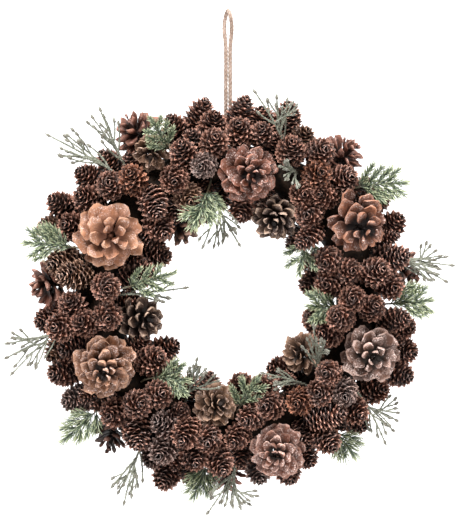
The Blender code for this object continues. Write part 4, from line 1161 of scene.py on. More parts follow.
# %% Close the last gaps
# Where the fine cones alone would let the white through, and the real wreath is closed.
GAPS = ((222, 197), (128, 301), (138, 343), (131, 258), (169, 276), (130, 158), (262, 199), (274, 146),
        (97, 404), (240, 455), (133, 456), (36, 330), (188, 386), (171, 212), (303, 433), (345, 430))
GAP_LENGTH = 32.0
GAP_GIRTH = 24.0


def gap_cone(pixel):
    """A short cone that stands upright on the bed, with its middle seen at this point."""
    seen = spot(pixel)
    outward = unit(seen)
    lean = (np.linalg.norm(seen) - RING_RADIUS) / (SUNK_ROOT + GAP_LENGTH / 2)
    lean = max(-MOST_LEAN, min(MOST_LEAN, lean))
    normal = outward * lean - np.array((0, 1, 0)) * math.sqrt(1 - lean**2)
    root = outward * RING_RADIUS + normal * SUNK_ROOT
    cluster = int(clock(seen) / math.tau * CLUSTERS)
    return Cone(cluster, root, root + normal * GAP_LENGTH, GAP_GIRTH, TUCKED_STATIONS, TUCKED_SHARES)


small += [gap_cone(pixel) for pixel in GAPS]
print(len(GAPS), "short cones close the last gaps")

# %% [markdown]
# ## The shape of a scale
#
# Every cone is made of scales on a core. A scale starts as a flat grid one unit long. Its rows are
# set to the outline's half widths, the far end is rounded off, and the sides and the end are lifted
# into a shallow spoon. An extrude of all its faces then gives it thickness. Small cones have thin
# scales with few faces, because there are thousands of them, and large cones have thick ones. Three
# versions of each shape are bent by noise, so that no row of scales looks stamped.


# %% Make a scale
CONE_MARKS = ("along", "across", "tone", "dusted")


def profile(share, values):
    """Reads a row of evenly spaced values at a share from 0 to 1."""
    return float(np.interp(share, np.linspace(0, 1, len(values)), values))


def scale_shape(name, faces, half_widths, thicknesses, cup, lift, rounding, swell=0.0):
    """A cone scale, one unit long and wide: its root at the origin, its inner side up."""
    bm = marked_bmesh(*CONE_MARKS)
    bmesh.ops.create_grid(bm, x_segments=faces[0], y_segments=faces[1], size=0.5)
    along, across = bm.verts.layers.float["along"], bm.verts.layers.float["across"]
    for v in bm.verts:
        side, out = 2 * v.co.x, v.co.y + 0.5
        v[along], v[across] = out, side
        v.co.x = side * profile(out, half_widths)
        v.co.y = out - rounding * abs(side) ** 3 * out**2
        v.co.z = cup * side**2 * out + lift * out**2
    grown = bmesh.ops.extrude_face_region(bm, geom=bm.faces[:], use_keep_orig=True)["geom"]
    for v in grown:
        if isinstance(v, bmesh.types.BMVert):
            thick = profile(v[along], thicknesses) * (1 - 0.6 * v[across] ** 2)
            bulge = math.exp(-(v[across] ** 2) * 2 - ((v[along] - 0.88) / 0.14) ** 2)
            v.co.z -= thick + swell * bulge
    bmesh.ops.recalc_face_normals(bm, faces=bm.faces)
    return as_mesh(bm, name)


thin_scale = scale_shape(
    "thin_scale", (2, 3), (0.24, 0.44, 0.5, 0.26), (0.12, 0.10, 0.09, 0.06), 0.13, 0.06, 0.26
)
broad_scale = scale_shape(
    "broad_scale", (6, 7), (0.15, 0.19, 0.26, 0.34, 0.43, 0.50, 0.52, 0.44),
    (0.07, 0.08, 0.09, 0.11, 0.13, 0.15, 0.14, 0.07), 0.14, 0.04, 0.24, 0.05,
)
knob_scale = scale_shape(
    "knob_scale", (6, 7), (0.15, 0.17, 0.22, 0.31, 0.43, 0.51, 0.52, 0.42),
    (0.12, 0.13, 0.16, 0.22, 0.30, 0.36, 0.34, 0.16), 0.12, -0.06, 0.22, 0.10,
)
finger_scale = scale_shape(
    "finger_scale", (4, 6), (0.30, 0.32, 0.36, 0.44, 0.50, 0.50, 0.38),
    (0.16, 0.18, 0.20, 0.25, 0.30, 0.26, 0.12), 0.14, 0.08, 0.20, 0.10,
)
for shape in (thin_scale, broad_scale, knob_scale, finger_scale):
    print(shape.name, len(shape.polygons), "faces")


VERSIONS = 3
# How fine the noise is that bends a scale, and the noise that frays its end.
BENDS = 2.6
FRAYS = 6.0


def versions(shape, depth):
    """Copies of a scale that are each bent and frayed a little differently towards the end."""
    made = [shape.copy() for _ in range(VERSIONS)]
    for k, version in enumerate(made):
        for v in version.vertices:
            away = Vector((v.co.x, v.co.y, 4.0 * k))
            v.co += noise.noise_vector(away * BENDS) * depth * v.co.y
            v.co += noise.noise_vector(away * FRAYS) * depth * 0.5 * v.co.y
    return made


broad_scales = versions(broad_scale, 0.13)
knob_scales = versions(knob_scale, 0.13)
finger_scales = versions(finger_scale, 0.12)
print(VERSIONS, "versions of each")

# %% [markdown]
# ## Standing scales on a cone
#
# Scales leave the core in one spiral, each one a golden angle further round than the last, which is
# what gives a cone its crossing rows. Where a scale's tip should lie is read from the cone's outline,
# and its root from how steeply the scales of that height stand.

# %% Arrange scales on an axis
GOLDEN = math.pi * (3 - math.sqrt(5))
CORE_TAPER = 0.6


def standing(cone):
    """The matrix that stands local +z along the cone's axis, from its root."""
    return Matrix.Translation(Vector(cone.root)) @ facing(cone.tip - cone.root)


def copy_into(bm, shape, matrix, **marks):
    """Adds one placed copy of a scale or a needle, with its own marks such as its tone."""
    copy = shape.copy()
    copy.transform(matrix)
    for mark, value in marks.items():
        copy.attributes[mark].data.foreach_set("value", np.full(len(copy.vertices), value, np.float32))
    bm.from_mesh(copy)
    bpy.data.meshes.remove(copy)


def scale_matrix(azimuth, angle, root_out, root_up, length, width, roll):
    """Puts a scale on the axis: along is where it grows to, and its inner side faces the apex."""
    radial = Vector((math.cos(azimuth), math.sin(azimuth), 0))
    across = Vector((-math.sin(azimuth), math.cos(azimuth), 0))
    along = radial * math.sin(angle) + Vector((0, 0, math.cos(angle)))
    inner = along.cross(across)
    turned = Matrix.Rotation(roll, 3, along)
    columns = (turned @ -across * width, along * length, turned @ inner * width)
    matrix = Matrix(columns).transposed().to_4x4()
    matrix.translation = radial * root_out + Vector((0, 0, root_up))
    return matrix


def scales_into(bm, cone, shapes, count, outline, angles, core, breadth, random, dusted=0.5, loose=1.0):
    """Stands scales round a cone, so that their tips trace the outline from base to apex.

    shapes: the versions of the scale, from base to apex; outline: rows of (height, radius) shares;
    angles: the scales' lean from the axis, in degrees; breadth: widths in shares of the girth.
    """
    place_it = standing(cone)
    start = random.uniform(0, math.tau)
    heights, reaches = zip(*outline)
    for k in range(count):
        share = (k + 0.5) / count
        up = heights[0] + (heights[-1] - heights[0]) * share
        out = cone.girth / 2 * float(np.interp(up, heights, reaches))
        angle = math.radians(profile(share, angles) + random.normal(0, 3.5 * loose))
        root_out = min(core * cone.girth * (1 - CORE_TAPER * share), out * 0.5)
        length = (out - root_out) / max(math.sin(angle), 0.25) * random.uniform(1 - 0.07 * loose, 1.0)
        root_up = up * cone.length - length * math.cos(angle)
        width = profile(share, breadth) * cone.girth * random.uniform(0.92, 1.08)
        azimuth = start + k * GOLDEN + random.normal(0, 0.05 * loose)
        matrix = scale_matrix(azimuth, angle, root_out, root_up, length, width, random.normal(0, 0.1 * loose))
        kind = shapes[int(share * len(shapes))]
        copy_into(bm, kind[k % len(kind)], place_it @ matrix, tone=random.random(), dusted=dusted)


def rod_into(bm, start, end, wide, narrow, sides=6):
    """A tapered rod from start to end, such as a cone's core or stalk."""
    start, end = Vector(start), Vector(end)
    made = bmesh.ops.create_cone(
        bm,
        cap_ends=True,
        segments=sides,
        radius1=wide,
        radius2=narrow,
        depth=(end - start).length,
        matrix=Matrix.Translation((start + end) / 2) @ facing(end - start),
    )
    return made["verts"]


# %% [markdown]
# ## Small spruce cones
#
# Small cones make up most of the wreath. They are very dark, and the rims of their scales are painted pale,
# partly as wear and partly as a painted highlight. Each cone draws its own spiral, openness and frost, so no
# two are alike. Its scales stand nearly straight out at the base and close up towards the apex. A cone that
# lies on its side has more and narrower scales than one that stands upright, because more of its rows show.

# %% Finishes of the small cones and the glue
# For each look: painted-shade, face, rim and odd colours, and frost. The painted shade darkens the hollows, and
# the pale rim is partly wear and partly a painted highlight.
SPRUCE_LOOKS = {
    "dark": ((0.005, 0.0015, 0.0009), (0.052, 0.017, 0.010), (0.80, 0.420, 0.305), (0.190, 0.067, 0.040), 0.75),
    "tan": ((0.007, 0.003, 0.0018), (0.115, 0.051, 0.029), (0.80, 0.50, 0.35), (0.280, 0.133, 0.075), 0.7),
    "red": ((0.0055, 0.0018, 0.001), (0.070, 0.021, 0.0105), (0.78, 0.355, 0.22), (0.240, 0.081, 0.040), 0.7),
    "grey": ((0.0045, 0.0024, 0.0018), (0.066, 0.033, 0.026), (0.74, 0.51, 0.43), (0.200, 0.106, 0.084), 1.4),
}
spruce = [
    cone_finish(f"spruce_{look}", *colours, rim_starts=0.8, roughness=0.3, shine=0.6, rim_reach=0.3)
    for look, colours in SPRUCE_LOOKS.items()
]

glue, tree, shader = new_finish("hot_glue", shine=0.12)
lumps = grain(tree, 5.0, 3.0)
# The glue's near-black brown is partly its own colour and partly painted shade for the gaps between the cones.
glue_and_gap_shade = mix(tree, ramp(tree, lumps, 0.3, 0.7), (0.005, 0.003, 0.002, 1), (0.022, 0.012, 0.007, 1))
tree.links.new(glue_and_gap_shade, shader.inputs["Base Color"])
tree.links.new(maths(tree, "ADD", maths(tree, "MULTIPLY", lumps, 0.3), 0.6), shader.inputs["Roughness"])
bump_into(tree, shader, lumps, 0.7, 0.0015)
print("finishes:", [finish.name for finish in spruce], glue.name)

# %% Small cones, one cluster after the other
ROOT_SPREAD = math.radians(88)
ROOT_MARGIN = 9.0
SMALL_SCALES = (78, 121)
SMALL_SPREAD = 1.14
SMALL_CORE = 0.12
SMALL_LOOSE = 0.9
SMALL_OUTLINE = ((0.05, 0.66), (0.2, 0.95), (0.38, 1.0), (0.55, 0.97), (0.74, 0.84), (0.9, 0.52), (1.0, 0.1))
SMALL_ANGLES = (98, 86, 76, 70, 64, 52, 22)
SMALL_BREADTH = (0.28, 0.30, 0.29, 0.26, 0.22, 0.15)
# Cones that aren't plain dark brown, by where their tips show in the photograph.
LIGHTER_CONES = {
    "tan": ((64, 281), (54, 261), (50, 360), (190, 201), (46, 224), (309, 131)),
    "red": ((233, 425), (217, 434), (243, 451), (230, 460), (338, 404), (300, 398), (268, 387), (190, 443),
            (322, 180), (303, 184), (129, 171), (362, 405)),
    "grey": ((101, 315), (159, 453), (158, 451), (146, 466), (160, 417), (341, 393), (206, 170), (252, 480),
             (62, 400)),
}
LOOK_REACH = 9.0
# The shown glue: steps round and along a length, its lumps' height, and how far it is drawn in.
GLUE_STEPS = (16, 14)
GLUE_LUMPS = 1.6
GLUE_DRAWN_IN = 1.0


def root_in_bed(cone):
    """The point of its own glue bed that is nearest to a small cone's root."""
    middle = (cone.cluster + 0.5) * math.tau / CLUSTERS
    half = math.pi / CLUSTERS - ROOT_MARGIN / RING_RADIUS
    swing = (clock(cone.root) - middle + math.pi) % math.tau - math.pi
    turn = middle + max(-half, min(half, swing))
    across = math.hypot(cone.root[0], cone.root[2]) - RING_RADIUS
    section = max(-ROOT_SPREAD, min(ROOT_SPREAD, math.atan2(across, -cone.root[1])))
    out = RING_RADIUS + SUNK_ROOT * math.sin(section)
    return Vector((out * math.sin(turn), -SUNK_ROOT * math.cos(section), out * math.cos(turn)))


def look_of(cone):
    """The look of the listed cone whose tip is nearest, or dark where none is near."""
    distances = {
        look: min(np.linalg.norm((spot(p) - cone.tip)[[0, 2]]) for p in spots)
        for look, spots in LIGHTER_CONES.items()
    }
    nearest = min(distances, key=distances.get)
    return nearest if distances[nearest] < LOOK_REACH else "dark"


def with_finish(shape, index):
    """The same scale with another of its piece's finishes."""
    made = shape.copy()
    made.polygons.foreach_set("material_index", np.full(len(made.polygons), index, np.int32))
    return made


thin_scales = versions(thin_scale, 0.10)
spruce_scales = {look: [with_finish(s, k) for s in thin_scales] for k, look in enumerate(SPRUCE_LOOKS)}
GLUE_SLOT = len(SPRUCE_LOOKS)


def small_cone_into(bm, cone, random):
    """One spruce cone with its core, and a foot of glue that reaches into the bed."""
    axis = cone.tip - cone.root
    dusted = random.uniform(0.3, 1.0)
    open_share = random.uniform(0.86, 1.05)
    angles = [angle * open_share for angle in SMALL_ANGLES]
    shapes = [spruce_scales[look_of(cone)]]
    rod_into(bm, cone.root, cone.root + axis * 0.86, cone.girth * 0.14, 0.1)
    spread = cone.widened(SMALL_SPREAD)
    side_on = math.hypot(axis[0], axis[2]) / cone.length
    few, many = SMALL_SCALES
    count = int((few + (many - few) * side_on) * (cone.length / SMALL_LENGTH))
    breadth = [b * (1.2 - 0.24 * side_on) for b in SMALL_BREADTH]
    looks = (angles, SMALL_CORE, breadth, random, dusted, SMALL_LOOSE)
    scales_into(bm, spread, shapes, count, SMALL_OUTLINE, *looks)
    foot = root_in_bed(cone)
    fresh = rod_into(bm, cone.root + axis * 0.12, foot, cone.girth * 0.15, cone.girth * 0.2, 8)
    for face in {f for v in fresh for f in v.link_faces}:
        face.material_index = GLUE_SLOT


for cluster in range(CLUSTERS):
    random = np.random.default_rng(100 + cluster)
    bm = marked_bmesh(*CONE_MARKS)
    bed_into(bm, cluster, *GLUE_STEPS, end_gap=0.0)
    for v in bm.verts:
        lump = noise.noise(v.co * 0.16) * 0.9 + noise.noise(v.co * 0.5) * 0.4
        away = v.co - Vector(off_ring(np.array([v.co]))[0][0])
        if away.length > (BED_INSIDE + BED_OUTSIDE) / 2:
            v.co += away.normalized() * (lump * GLUE_LUMPS - GLUE_DRAWN_IN)
    for face in bm.faces:
        face.material_index = GLUE_SLOT
    for cone in [c for c in small if c.cluster == cluster]:
        small_cone_into(bm, cone, random)
    name = f"spruce_cones_{cluster + 1:02d}"
    hang(name, bm, [*spruce, glue], f"small_cones_{cluster + 1:02d}")
print("spruce cones:", sum(n for k, n in made_triangles.items() if k.startswith("spruce")), "triangles")

# %% [markdown]
# ## Large pine cones
#
# Six large cones face the viewer like flowers. Their scales are broad, thick and rounded, with a
# swelling near the end, and stand flat at the base and upright round the apex. Each cone has its own
# colour, from light tan to a frosted reddish brown, and its own number of scales. Noise then bends
# the whole cone a little.

# %% Large cones
STALK = 3.4
LARGE_CORE = 0.11
LARGE_OUTLINE = ((0.06, 0.95), (0.16, 1.0), (0.36, 1.0), (0.56, 0.84), (0.76, 0.60), (0.92, 0.32), (1.0, 0.12))
LARGE_ANGLES = (102, 95, 88, 79, 68, 48, 18)
FLAT_ANGLES = (102, 99, 94, 87, 78, 62, 30)
LARGE_BREADTH = (0.28, 0.29, 0.275, 0.24, 0.185, 0.13, 0.085)
LARGE_SHAPES = [broad_scales, broad_scales, broad_scales, knob_scales, knob_scales]
# For each cone: how many scales, their breadth, how far they wander, the frost, and the painted-shade, face,
# rim and odd colours, where the painted shade darkens the hollows and the pale rim is partly wear and partly a
# painted highlight.
LARGE_LOOKS = {
    "upper_left": (25, 1.12, 2.0, 1.0,
                   (0.075, 0.025, 0.012), (0.33, 0.138, 0.070), (0.48, 0.255, 0.155), (0.40, 0.185, 0.100)),
    "top": (42, 0.98, 2.3, 1.1,
            (0.008, 0.002, 0.001), (0.145, 0.042, 0.021), (0.32, 0.130, 0.085), (0.21, 0.070, 0.037)),
    "upper_right": (30, 1.0, 2.2, 0.9,
                    (0.005, 0.0015, 0.001), (0.145, 0.046, 0.023), (0.38, 0.17, 0.10), (0.215, 0.078, 0.040)),
    "lower_left": (46, 1.0, 2.0, 1.0,
                   (0.008, 0.003, 0.001), (0.205, 0.080, 0.037), (0.48, 0.27, 0.175), (0.275, 0.120, 0.060)),
    "lower_right": (30, 1.04, 2.3, 1.5,
                    (0.008, 0.004, 0.002), (0.120, 0.054, 0.036), (0.50, 0.33, 0.27), (0.20, 0.096, 0.062)),
    "bottom": (42, 1.0, 2.6, 1.4,
               (0.008, 0.003, 0.001), (0.180, 0.066, 0.042), (0.50, 0.280, 0.210), (0.285, 0.120, 0.083)),
}


def roughen(bm, size, depth):
    """Bends everything a little this way and that, as grown and dried scales do."""
    for v in bm.verts:
        v.co += noise.noise_vector(v.co / size) * depth


for order, ((name, *_), cone) in enumerate(zip(LARGE_CONES, large)):
    count, wide, loose, frost, *colours = LARGE_LOOKS[name]
    random = np.random.default_rng(200 + order)
    finish = cone_finish(f"pine_cone_{name}", *colours, frost, rim_starts=0.82, roughness=0.6)
    bm = marked_bmesh(*CONE_MARKS)
    axis = cone.tip - cone.root
    rod_into(bm, cone.root, cone.root + axis * 0.62, cone.girth * 0.12, cone.girth * 0.02, 9)
    rod_into(bm, cone.root + axis * 0.1, seat(cone.root, SEAT_GAP), cone.girth * 0.07, STALK, 9)
    breadth = [b * wide for b in LARGE_BREADTH]
    angles = FLAT_ANGLES if name == "upper_left" else LARGE_ANGLES
    looks = (angles, LARGE_CORE, breadth, random, 1.0, loose)
    scales_into(bm, cone, LARGE_SHAPES, count, LARGE_OUTLINE, *looks)
    roughen(bm, 7.0, 1.0)
    roughen(bm, 2.4, 0.3)
    piece = hang(f"pine_cone_{name}", bm, [finish], f"large_cone_{name}")
    print(piece.name, made_triangles[piece.name], "triangles")

# %% [markdown]
# ## Middle-sized open cones
#
# A dozen open cones sit between the others. Their scales are wide apart, with painted shade deep inside, broad
# on some cones and narrow and blunt like fingers on others. Some cones are reddish brown, some nearly black
# with pale ends, which are partly a painted highlight.

# %% Open cones
OPEN_CORE = 0.12
OPEN_LOOSE = 2.0
OPEN_DUSTED = 0.9
OPEN_OUTLINE = ((0.08, 0.88), (0.25, 1.0), (0.5, 0.98), (0.72, 0.74), (0.9, 0.42), (1.0, 0.16))
OPEN_ANGLES = (100, 88, 76, 62, 44, 20)
OPEN_BREADTH = (0.25, 0.25, 0.23, 0.20, 0.15, 0.10)
# Painted-shade, face, rim and odd colours: the painted shade darkens the hollows, and the pale rim is partly
# wear and partly a painted highlight.
RED = ((0.014, 0.005, 0.003), (0.16, 0.056, 0.036), (0.36, 0.175, 0.125), (0.22, 0.085, 0.055))
DARK = ((0.006, 0.0035, 0.0025), (0.058, 0.031, 0.022), (0.52, 0.36, 0.26), (0.15, 0.085, 0.058))
LIGHT = ((0.016, 0.008, 0.005), (0.20, 0.105, 0.062), (0.44, 0.28, 0.19), (0.27, 0.150, 0.092))
TAWNY = ((0.010, 0.004, 0.0025), (0.150, 0.070, 0.045), (0.42, 0.235, 0.165), (0.23, 0.110, 0.072))
CLAW = ((0.006, 0.003, 0.002), (0.045, 0.018, 0.012), (0.12, 0.055, 0.038), (0.08, 0.030, 0.020))
# For each cone: its colours, how many scales, their shape, and the frost.
OPEN_LOOKS = {
    "top_left": (RED, 26, finger_scales, 0.4),
    "top_left_low": (LIGHT, 34, broad_scales, 0.7),
    "inner_top_left": (TAWNY, 28, finger_scales, 0.4),
    "top_right": (RED, 38, broad_scales, 0.6),
    "inner_top_right": (DARK, 36, finger_scales, 0.9),
    "far_left": (RED, 30, finger_scales, 0.5),
    "inner_left": (DARK, 30, finger_scales, 0.5),
    "inner_bottom_left": (LIGHT, 46, broad_scales, 0.9),
    "far_right": (RED, 30, broad_scales, 0.6),
    "inner_right": (LIGHT, 32, broad_scales, 0.6),
    "bottom_left": (CLAW, 22, finger_scales, 0.2),
    "bottom": (RED, 26, broad_scales, 0.4),
}
# How much wider the scales reach than the solid cone.
OPEN_SPREAD = {"inner_top_left": 1.42, "far_left": 1.28, "top_left": 1.26, "far_right": 1.25}
USUAL_SPREAD = 1.14

for order, ((name, *_), cone) in enumerate(zip(OPEN_CONES, opened)):
    colours, count, shapes, frost = OPEN_LOOKS[name]
    random = np.random.default_rng(300 + order)
    finish = cone_finish(f"open_cone_{name}", *colours, frost, rim_starts=0.8, roughness=0.55)
    bm = marked_bmesh(*CONE_MARKS)
    axis = cone.tip - cone.root
    rod_into(bm, cone.root, cone.root + axis * 0.75, cone.girth * 0.12, cone.girth * 0.05, 8)
    rod_into(bm, cone.root + axis * 0.1, seat(cone.root, SEAT_GAP), cone.girth * 0.08, STALK * 0.8, 8)
    full = cone.widened(OPEN_SPREAD.get(name, USUAL_SPREAD))
    looks = (OPEN_ANGLES, OPEN_CORE, OPEN_BREADTH, random, OPEN_DUSTED, OPEN_LOOSE)
    scales_into(bm, full, [shapes], count, OPEN_OUTLINE, *looks)
    roughen(bm, 5.0, 0.7)
    piece = hang(f"opened_cone_{name}", bm, [finish], f"open_cone_{name}")
    print(piece.name, made_triangles[piece.name], "triangles")

# %% [markdown]
# ## Needle sprigs
#
# Thirteen sprigs of artificial fir needles stick out between the cones. A sprig has a main stem and
# a few side stems, and needles all round them that lean forward. A needle is a thin three-sided
# spike, made by extruding a triangle three times, with a slight bend. A needle that would run into a
# cone is left out.

# %% Needle finish
needle_green, tree, shader = new_finish("needles")
along, tone = carried(tree, "along"), carried(tree, "tone")
deep = mix(tree, tone, (0.026, 0.048, 0.027, 1), (0.095, 0.130, 0.070, 1))
fresh = mix(tree, tone, (0.25, 0.30, 0.15, 1), (0.58, 0.60, 0.38, 1))
green = mix(tree, ramp(tree, along, 0.4, 0.95), deep, fresh)
stem_brown = (0.10, 0.075, 0.04, 1)
green = mix(tree, ramp(tree, along, 0.02, 0.06), stem_brown, green)
dusted_green = frosted(tree, green, frost=(0.55, 0.62, 0.55), amount=0.6)["Colour"]
tree.links.new(dusted_green, shader.inputs["Base Color"])
print("needle finish:", len(tree.nodes), "nodes")


# %% One needle, one unit long
def needle_shape():
    """A three-sided spike along +z that bends a little, with its marks."""
    bm = marked_bmesh("along", "tone")
    along = bm.verts.layers.float["along"]
    bmesh.ops.create_circle(bm, cap_ends=True, segments=3, radius=1.0)
    end = bm.faces[:][0]
    for v in bm.verts:
        v[along] = 0.1
    for up, wide in ((0.35, 1.0), (0.75, 0.85), (1.0, 0.3)):
        end = bmesh.ops.extrude_discrete_faces(bm, faces=[end])["faces"][0]
        middle = end.calc_center_median()
        for v in end.verts:
            v.co = (v.co - middle).normalized() * wide + Vector((0.06 * up**2, 0, up))
            v[along] = 0.1 + 0.9 * up
    bmesh.ops.recalc_face_normals(bm, faces=bm.faces)
    return as_mesh(bm, "needle")


needle = needle_shape()
print("a needle has", len(needle.polygons), "faces")

# %% Sprigs
NEEDLES_PER_MM = 2.4
SIDE_STEM = (0.65, 0.4)
SIDE_STEM_POINTS = 7
BOX_MARGIN = 0.0006
# Sprigs like a fir branch, with the number of their side stems. The others are brushes of long needles.
FRONDS = {
    "top_left": 6, "upper_left": 8, "upper_right": 8, "right": 8, "inner_left": 6, "inner_right": 6,
    "inner_lower_left": 6, "inner_bottom": 4, "inner_upper_right": 4,
}
solid_balls = walls[: len(large)] + [c.balls() for c in opened + small]
solid_points = np.vstack([w[0] for w in solid_balls])
solid_radii = np.concatenate([w[1] for w in solid_balls])


def is_free(start, tip, slack=0.8):
    """Whether a needle from start to tip keeps clear of the cones and of the glue."""
    line = np.array([start + (tip - start) * s for s in (0.4, 0.6, 0.8, 1.0)])
    distance = np.linalg.norm(line[:, None] - solid_points[None, :], axis=2)
    clear = (distance > solid_radii[None, :] * slack).all()
    return clear and off_ring(line)[1].min() > BED_OUTSIDE and line[:, 1].max() < BACK_PLANE


def in_box(point):
    """Whether a point in millimetres lies in the box of the CAD model."""
    world = TO_WORLD @ Vector(point)
    low, high = frame_bounds
    return all(a + BOX_MARGIN < w < b - BOX_MARGIN for a, w, b in zip(low, world, high))


def needles_into(bm, path, length, thick, leans, random, start_share):
    """Needles round one stem, from a share of its length to its tip; leans are in degrees."""
    points, marks = even_points(path, 0.5)
    frames = frames_along(points)
    count = int(marks[-1] * (1 - start_share) * NEEDLES_PER_MM)
    kept = 0
    for k in range(count):
        share = start_share + (1 - start_share) * (k + random.random()) / count
        at = min(int(share * (len(points) - 1)), len(points) - 2)
        heading = Vector(points[at + 1] - points[at]).normalized()
        side, up = frames[at]
        azimuth = k * GOLDEN + random.normal(0, 0.2)
        lean = math.radians(random.uniform(*leans)) * (1 - 0.6 * max(0.0, share - 0.75) / 0.25)
        outward = side * math.cos(azimuth) + up * math.sin(azimuth)
        along = heading * math.cos(lean) + outward * math.sin(lean)
        reach = length * random.uniform(0.75, 1.05)
        for shorter in (1.0, 0.7):
            tip = points[at] + np.array(along) * reach * shorter
            if is_free(points[at], tip) and in_box(tip):
                roll = Matrix.Rotation(random.uniform(0, math.tau), 4, "Z")
                size = Matrix.Diagonal((thick, thick, reach * shorter, 1))
                matrix = Matrix.Translation(Vector(points[at])) @ facing(along) @ roll @ size
                copy_into(bm, needle, matrix, tone=random.random())
                kept += 1
                break
    return kept


def side_stems(points, count, length):
    """Side stems that leave a sprig's stem alternately to the left and right, shorter towards its tip."""
    stems = []
    for k in range(count):
        share = 0.36 + 0.52 * k / count
        at = int(share * (len(points) - 1))
        heading = unit(points[at + 1] - points[at])
        flat = unit(np.cross(heading, (0, 1, 0)) * (-1) ** k)
        reach = length * (1.5 - 1.2 * (share - 0.36))
        for shorter in (1.0, 0.7):
            end = points[at] + (heading * 0.72 + flat * 0.66 + np.array((0, -0.12, 0))) * reach * shorter
            if is_free(points[at], end, 0.85) and in_box(end + heading * 3):
                stems.append(bend(points[at], (points[at] + end) / 2 + flat * 1.5, end, SIDE_STEM_POINTS))
                break
    return stems


for order, ((name, _, _, _, length), path) in enumerate(zip(NEEDLE_SPRIGS, sprig_paths)):
    random = np.random.default_rng(400 + order)
    bm = marked_bmesh("along", "tone")
    points, marks = even_points(path, 1.5)
    tube_into(bm, points, np.linspace(NEEDLE_STEM, NEEDLE_STEM * 0.5, len(points)))
    if name in FRONDS:
        kept = needles_into(bm, points, length * 0.62, 0.55, (28, 50), random, 0.36)
        for stem in side_stems(points, FRONDS[name], length):
            tube_into(bm, stem, np.linspace(*SIDE_STEM, SIDE_STEM_POINTS), sides=5)
            kept += needles_into(bm, stem, length * 0.56, 0.55, (24, 46), random, 0.08)
    else:
        kept = needles_into(bm, points, length, 0.5, (22, 50), random, 0.4)
        for stem in side_stems(points, 6, length * 0.75):
            tube_into(bm, stem, np.linspace(*SIDE_STEM, SIDE_STEM_POINTS), sides=5)
            kept += needles_into(bm, stem, length * 0.85, 0.5, (18, 42), random, 0.1)
    piece = hang(f"needles_{name}", bm, [needle_green], f"needle_sprig_{name}")
    print(piece.name, kept, "needles")

# %% [markdown]
# ## Budded twigs
#
# The sprays are thin artificial twigs with a grainy, frosted skin and a small bud at each end. The
# skin's grains are real bumps along the twig, because they show in its outline.

# %% Twig finish
twig_finish, tree, shader = new_finish("budded_twig", roughness=0.8)
along, tone = carried(tree, "along"), carried(tree, "tone")
skin = mix(tree, ramp(tree, grain(tree, 2.0), 0.35, 0.65), (0.085, 0.090, 0.062, 1), (0.22, 0.225, 0.17, 1))
skin = mix(tree, maths(tree, "MULTIPLY", tone, 0.45), skin, (0.34, 0.345, 0.28, 1))
bud_brown = mix(tree, ramp(tree, grain(tree, 1.5), 0.4, 0.6), (0.085, 0.075, 0.055, 1), (0.20, 0.19, 0.15, 1))
skin = mix(tree, ramp(tree, along, 0.9, 0.97), skin, bud_brown)
dusted_skin = frosted(tree, skin, frost=(0.60, 0.62, 0.57), amount=0.5)["Colour"]
tree.links.new(dusted_skin, shader.inputs["Base Color"])
print("twig finish:", len(tree.nodes), "nodes")

# %% Twigs with grains and buds
BUD = 2.1
BUD_LENGTH = 5.0
BUD_GRAINS = 6
GRAIN_EVERY = 1.25
LONGEST_SIDE_TWIG = 36.0
SHORTEST_SIDE_TWIG = 7.0


def ball_shape(subdivisions):
    """A ball, one unit in radius, with its marks."""
    bm = marked_bmesh("along", "tone")
    bmesh.ops.create_icosphere(bm, subdivisions=subdivisions, radius=1.0)
    return as_mesh(bm, "ball")


coarse_ball, fine_ball = ball_shape(1), ball_shape(2)


def grain_into(bm, centre, heading, radius, stretch, mark, tone, shape=coarse_ball):
    """One small bump or bud: a ball drawn out along its heading."""
    size = Matrix.Diagonal((radius, radius, radius * stretch, 1))
    matrix = Matrix.Translation(Vector(centre)) @ facing(heading) @ size
    copy_into(bm, shape, matrix, along=mark, tone=tone)


def bud_into(bm, tip, heading, radius, length, random):
    """A bud whose tip is at the given point, with a few grains on it."""
    heading = Vector(heading).normalized()
    centre = Vector(tip) - heading * length / 2
    grain_into(bm, centre, heading, radius * 0.82, length / 2 / (radius * 0.82), 1.0, 0.3, fine_ball)
    side = heading.orthogonal().normalized()
    for k in range(BUD_GRAINS):
        out = Matrix.Rotation(k * GOLDEN, 3, heading) @ side
        at = centre + out * radius * 0.6 + heading * length * (0.28 - 0.1 * k)
        grain_into(bm, at, heading + out * 0.5, radius * 0.38, 1.5, 0.97, random.random())


def twig_into(bm, line, thick, thin, random):
    """A grainy twig along a line, with a bud at its end."""
    points, marks = even_points(line, 2.0)
    heading = unit(points[-1] - points[-2])
    tip = points[-1]
    points[-1] = tip - heading * BUD_LENGTH * 0.6
    radii = np.linspace(thick, thin, len(points)) * (1 + 0.12 * random.standard_normal(len(points)))
    tube_into(bm, points, radii, 6, [0.5] * len(points))
    frames = frames_along(points)
    count = int(marks[-1] / GRAIN_EVERY)
    for k in range(count):
        share = (k + 0.5) / count
        at = min(int(share * (len(points) - 1)), len(points) - 2)
        place_at = Vector(points[at]).lerp(Vector(points[at + 1]), share * (len(points) - 1) - at)
        ahead = Vector(points[at + 1] - points[at]).normalized()
        side, up = frames[at]
        a = k * GOLDEN
        out = side * math.cos(a) + up * math.sin(a)
        radius = (thick + (thin - thick) * share) * random.uniform(0.45, 0.7)
        grain_into(bm, place_at + out * radius * 1.5, ahead + out * 0.5, radius, 1.7, 0.6, random.random())
    bud_into(bm, tip, heading, BUD * 0.86, BUD_LENGTH, random)


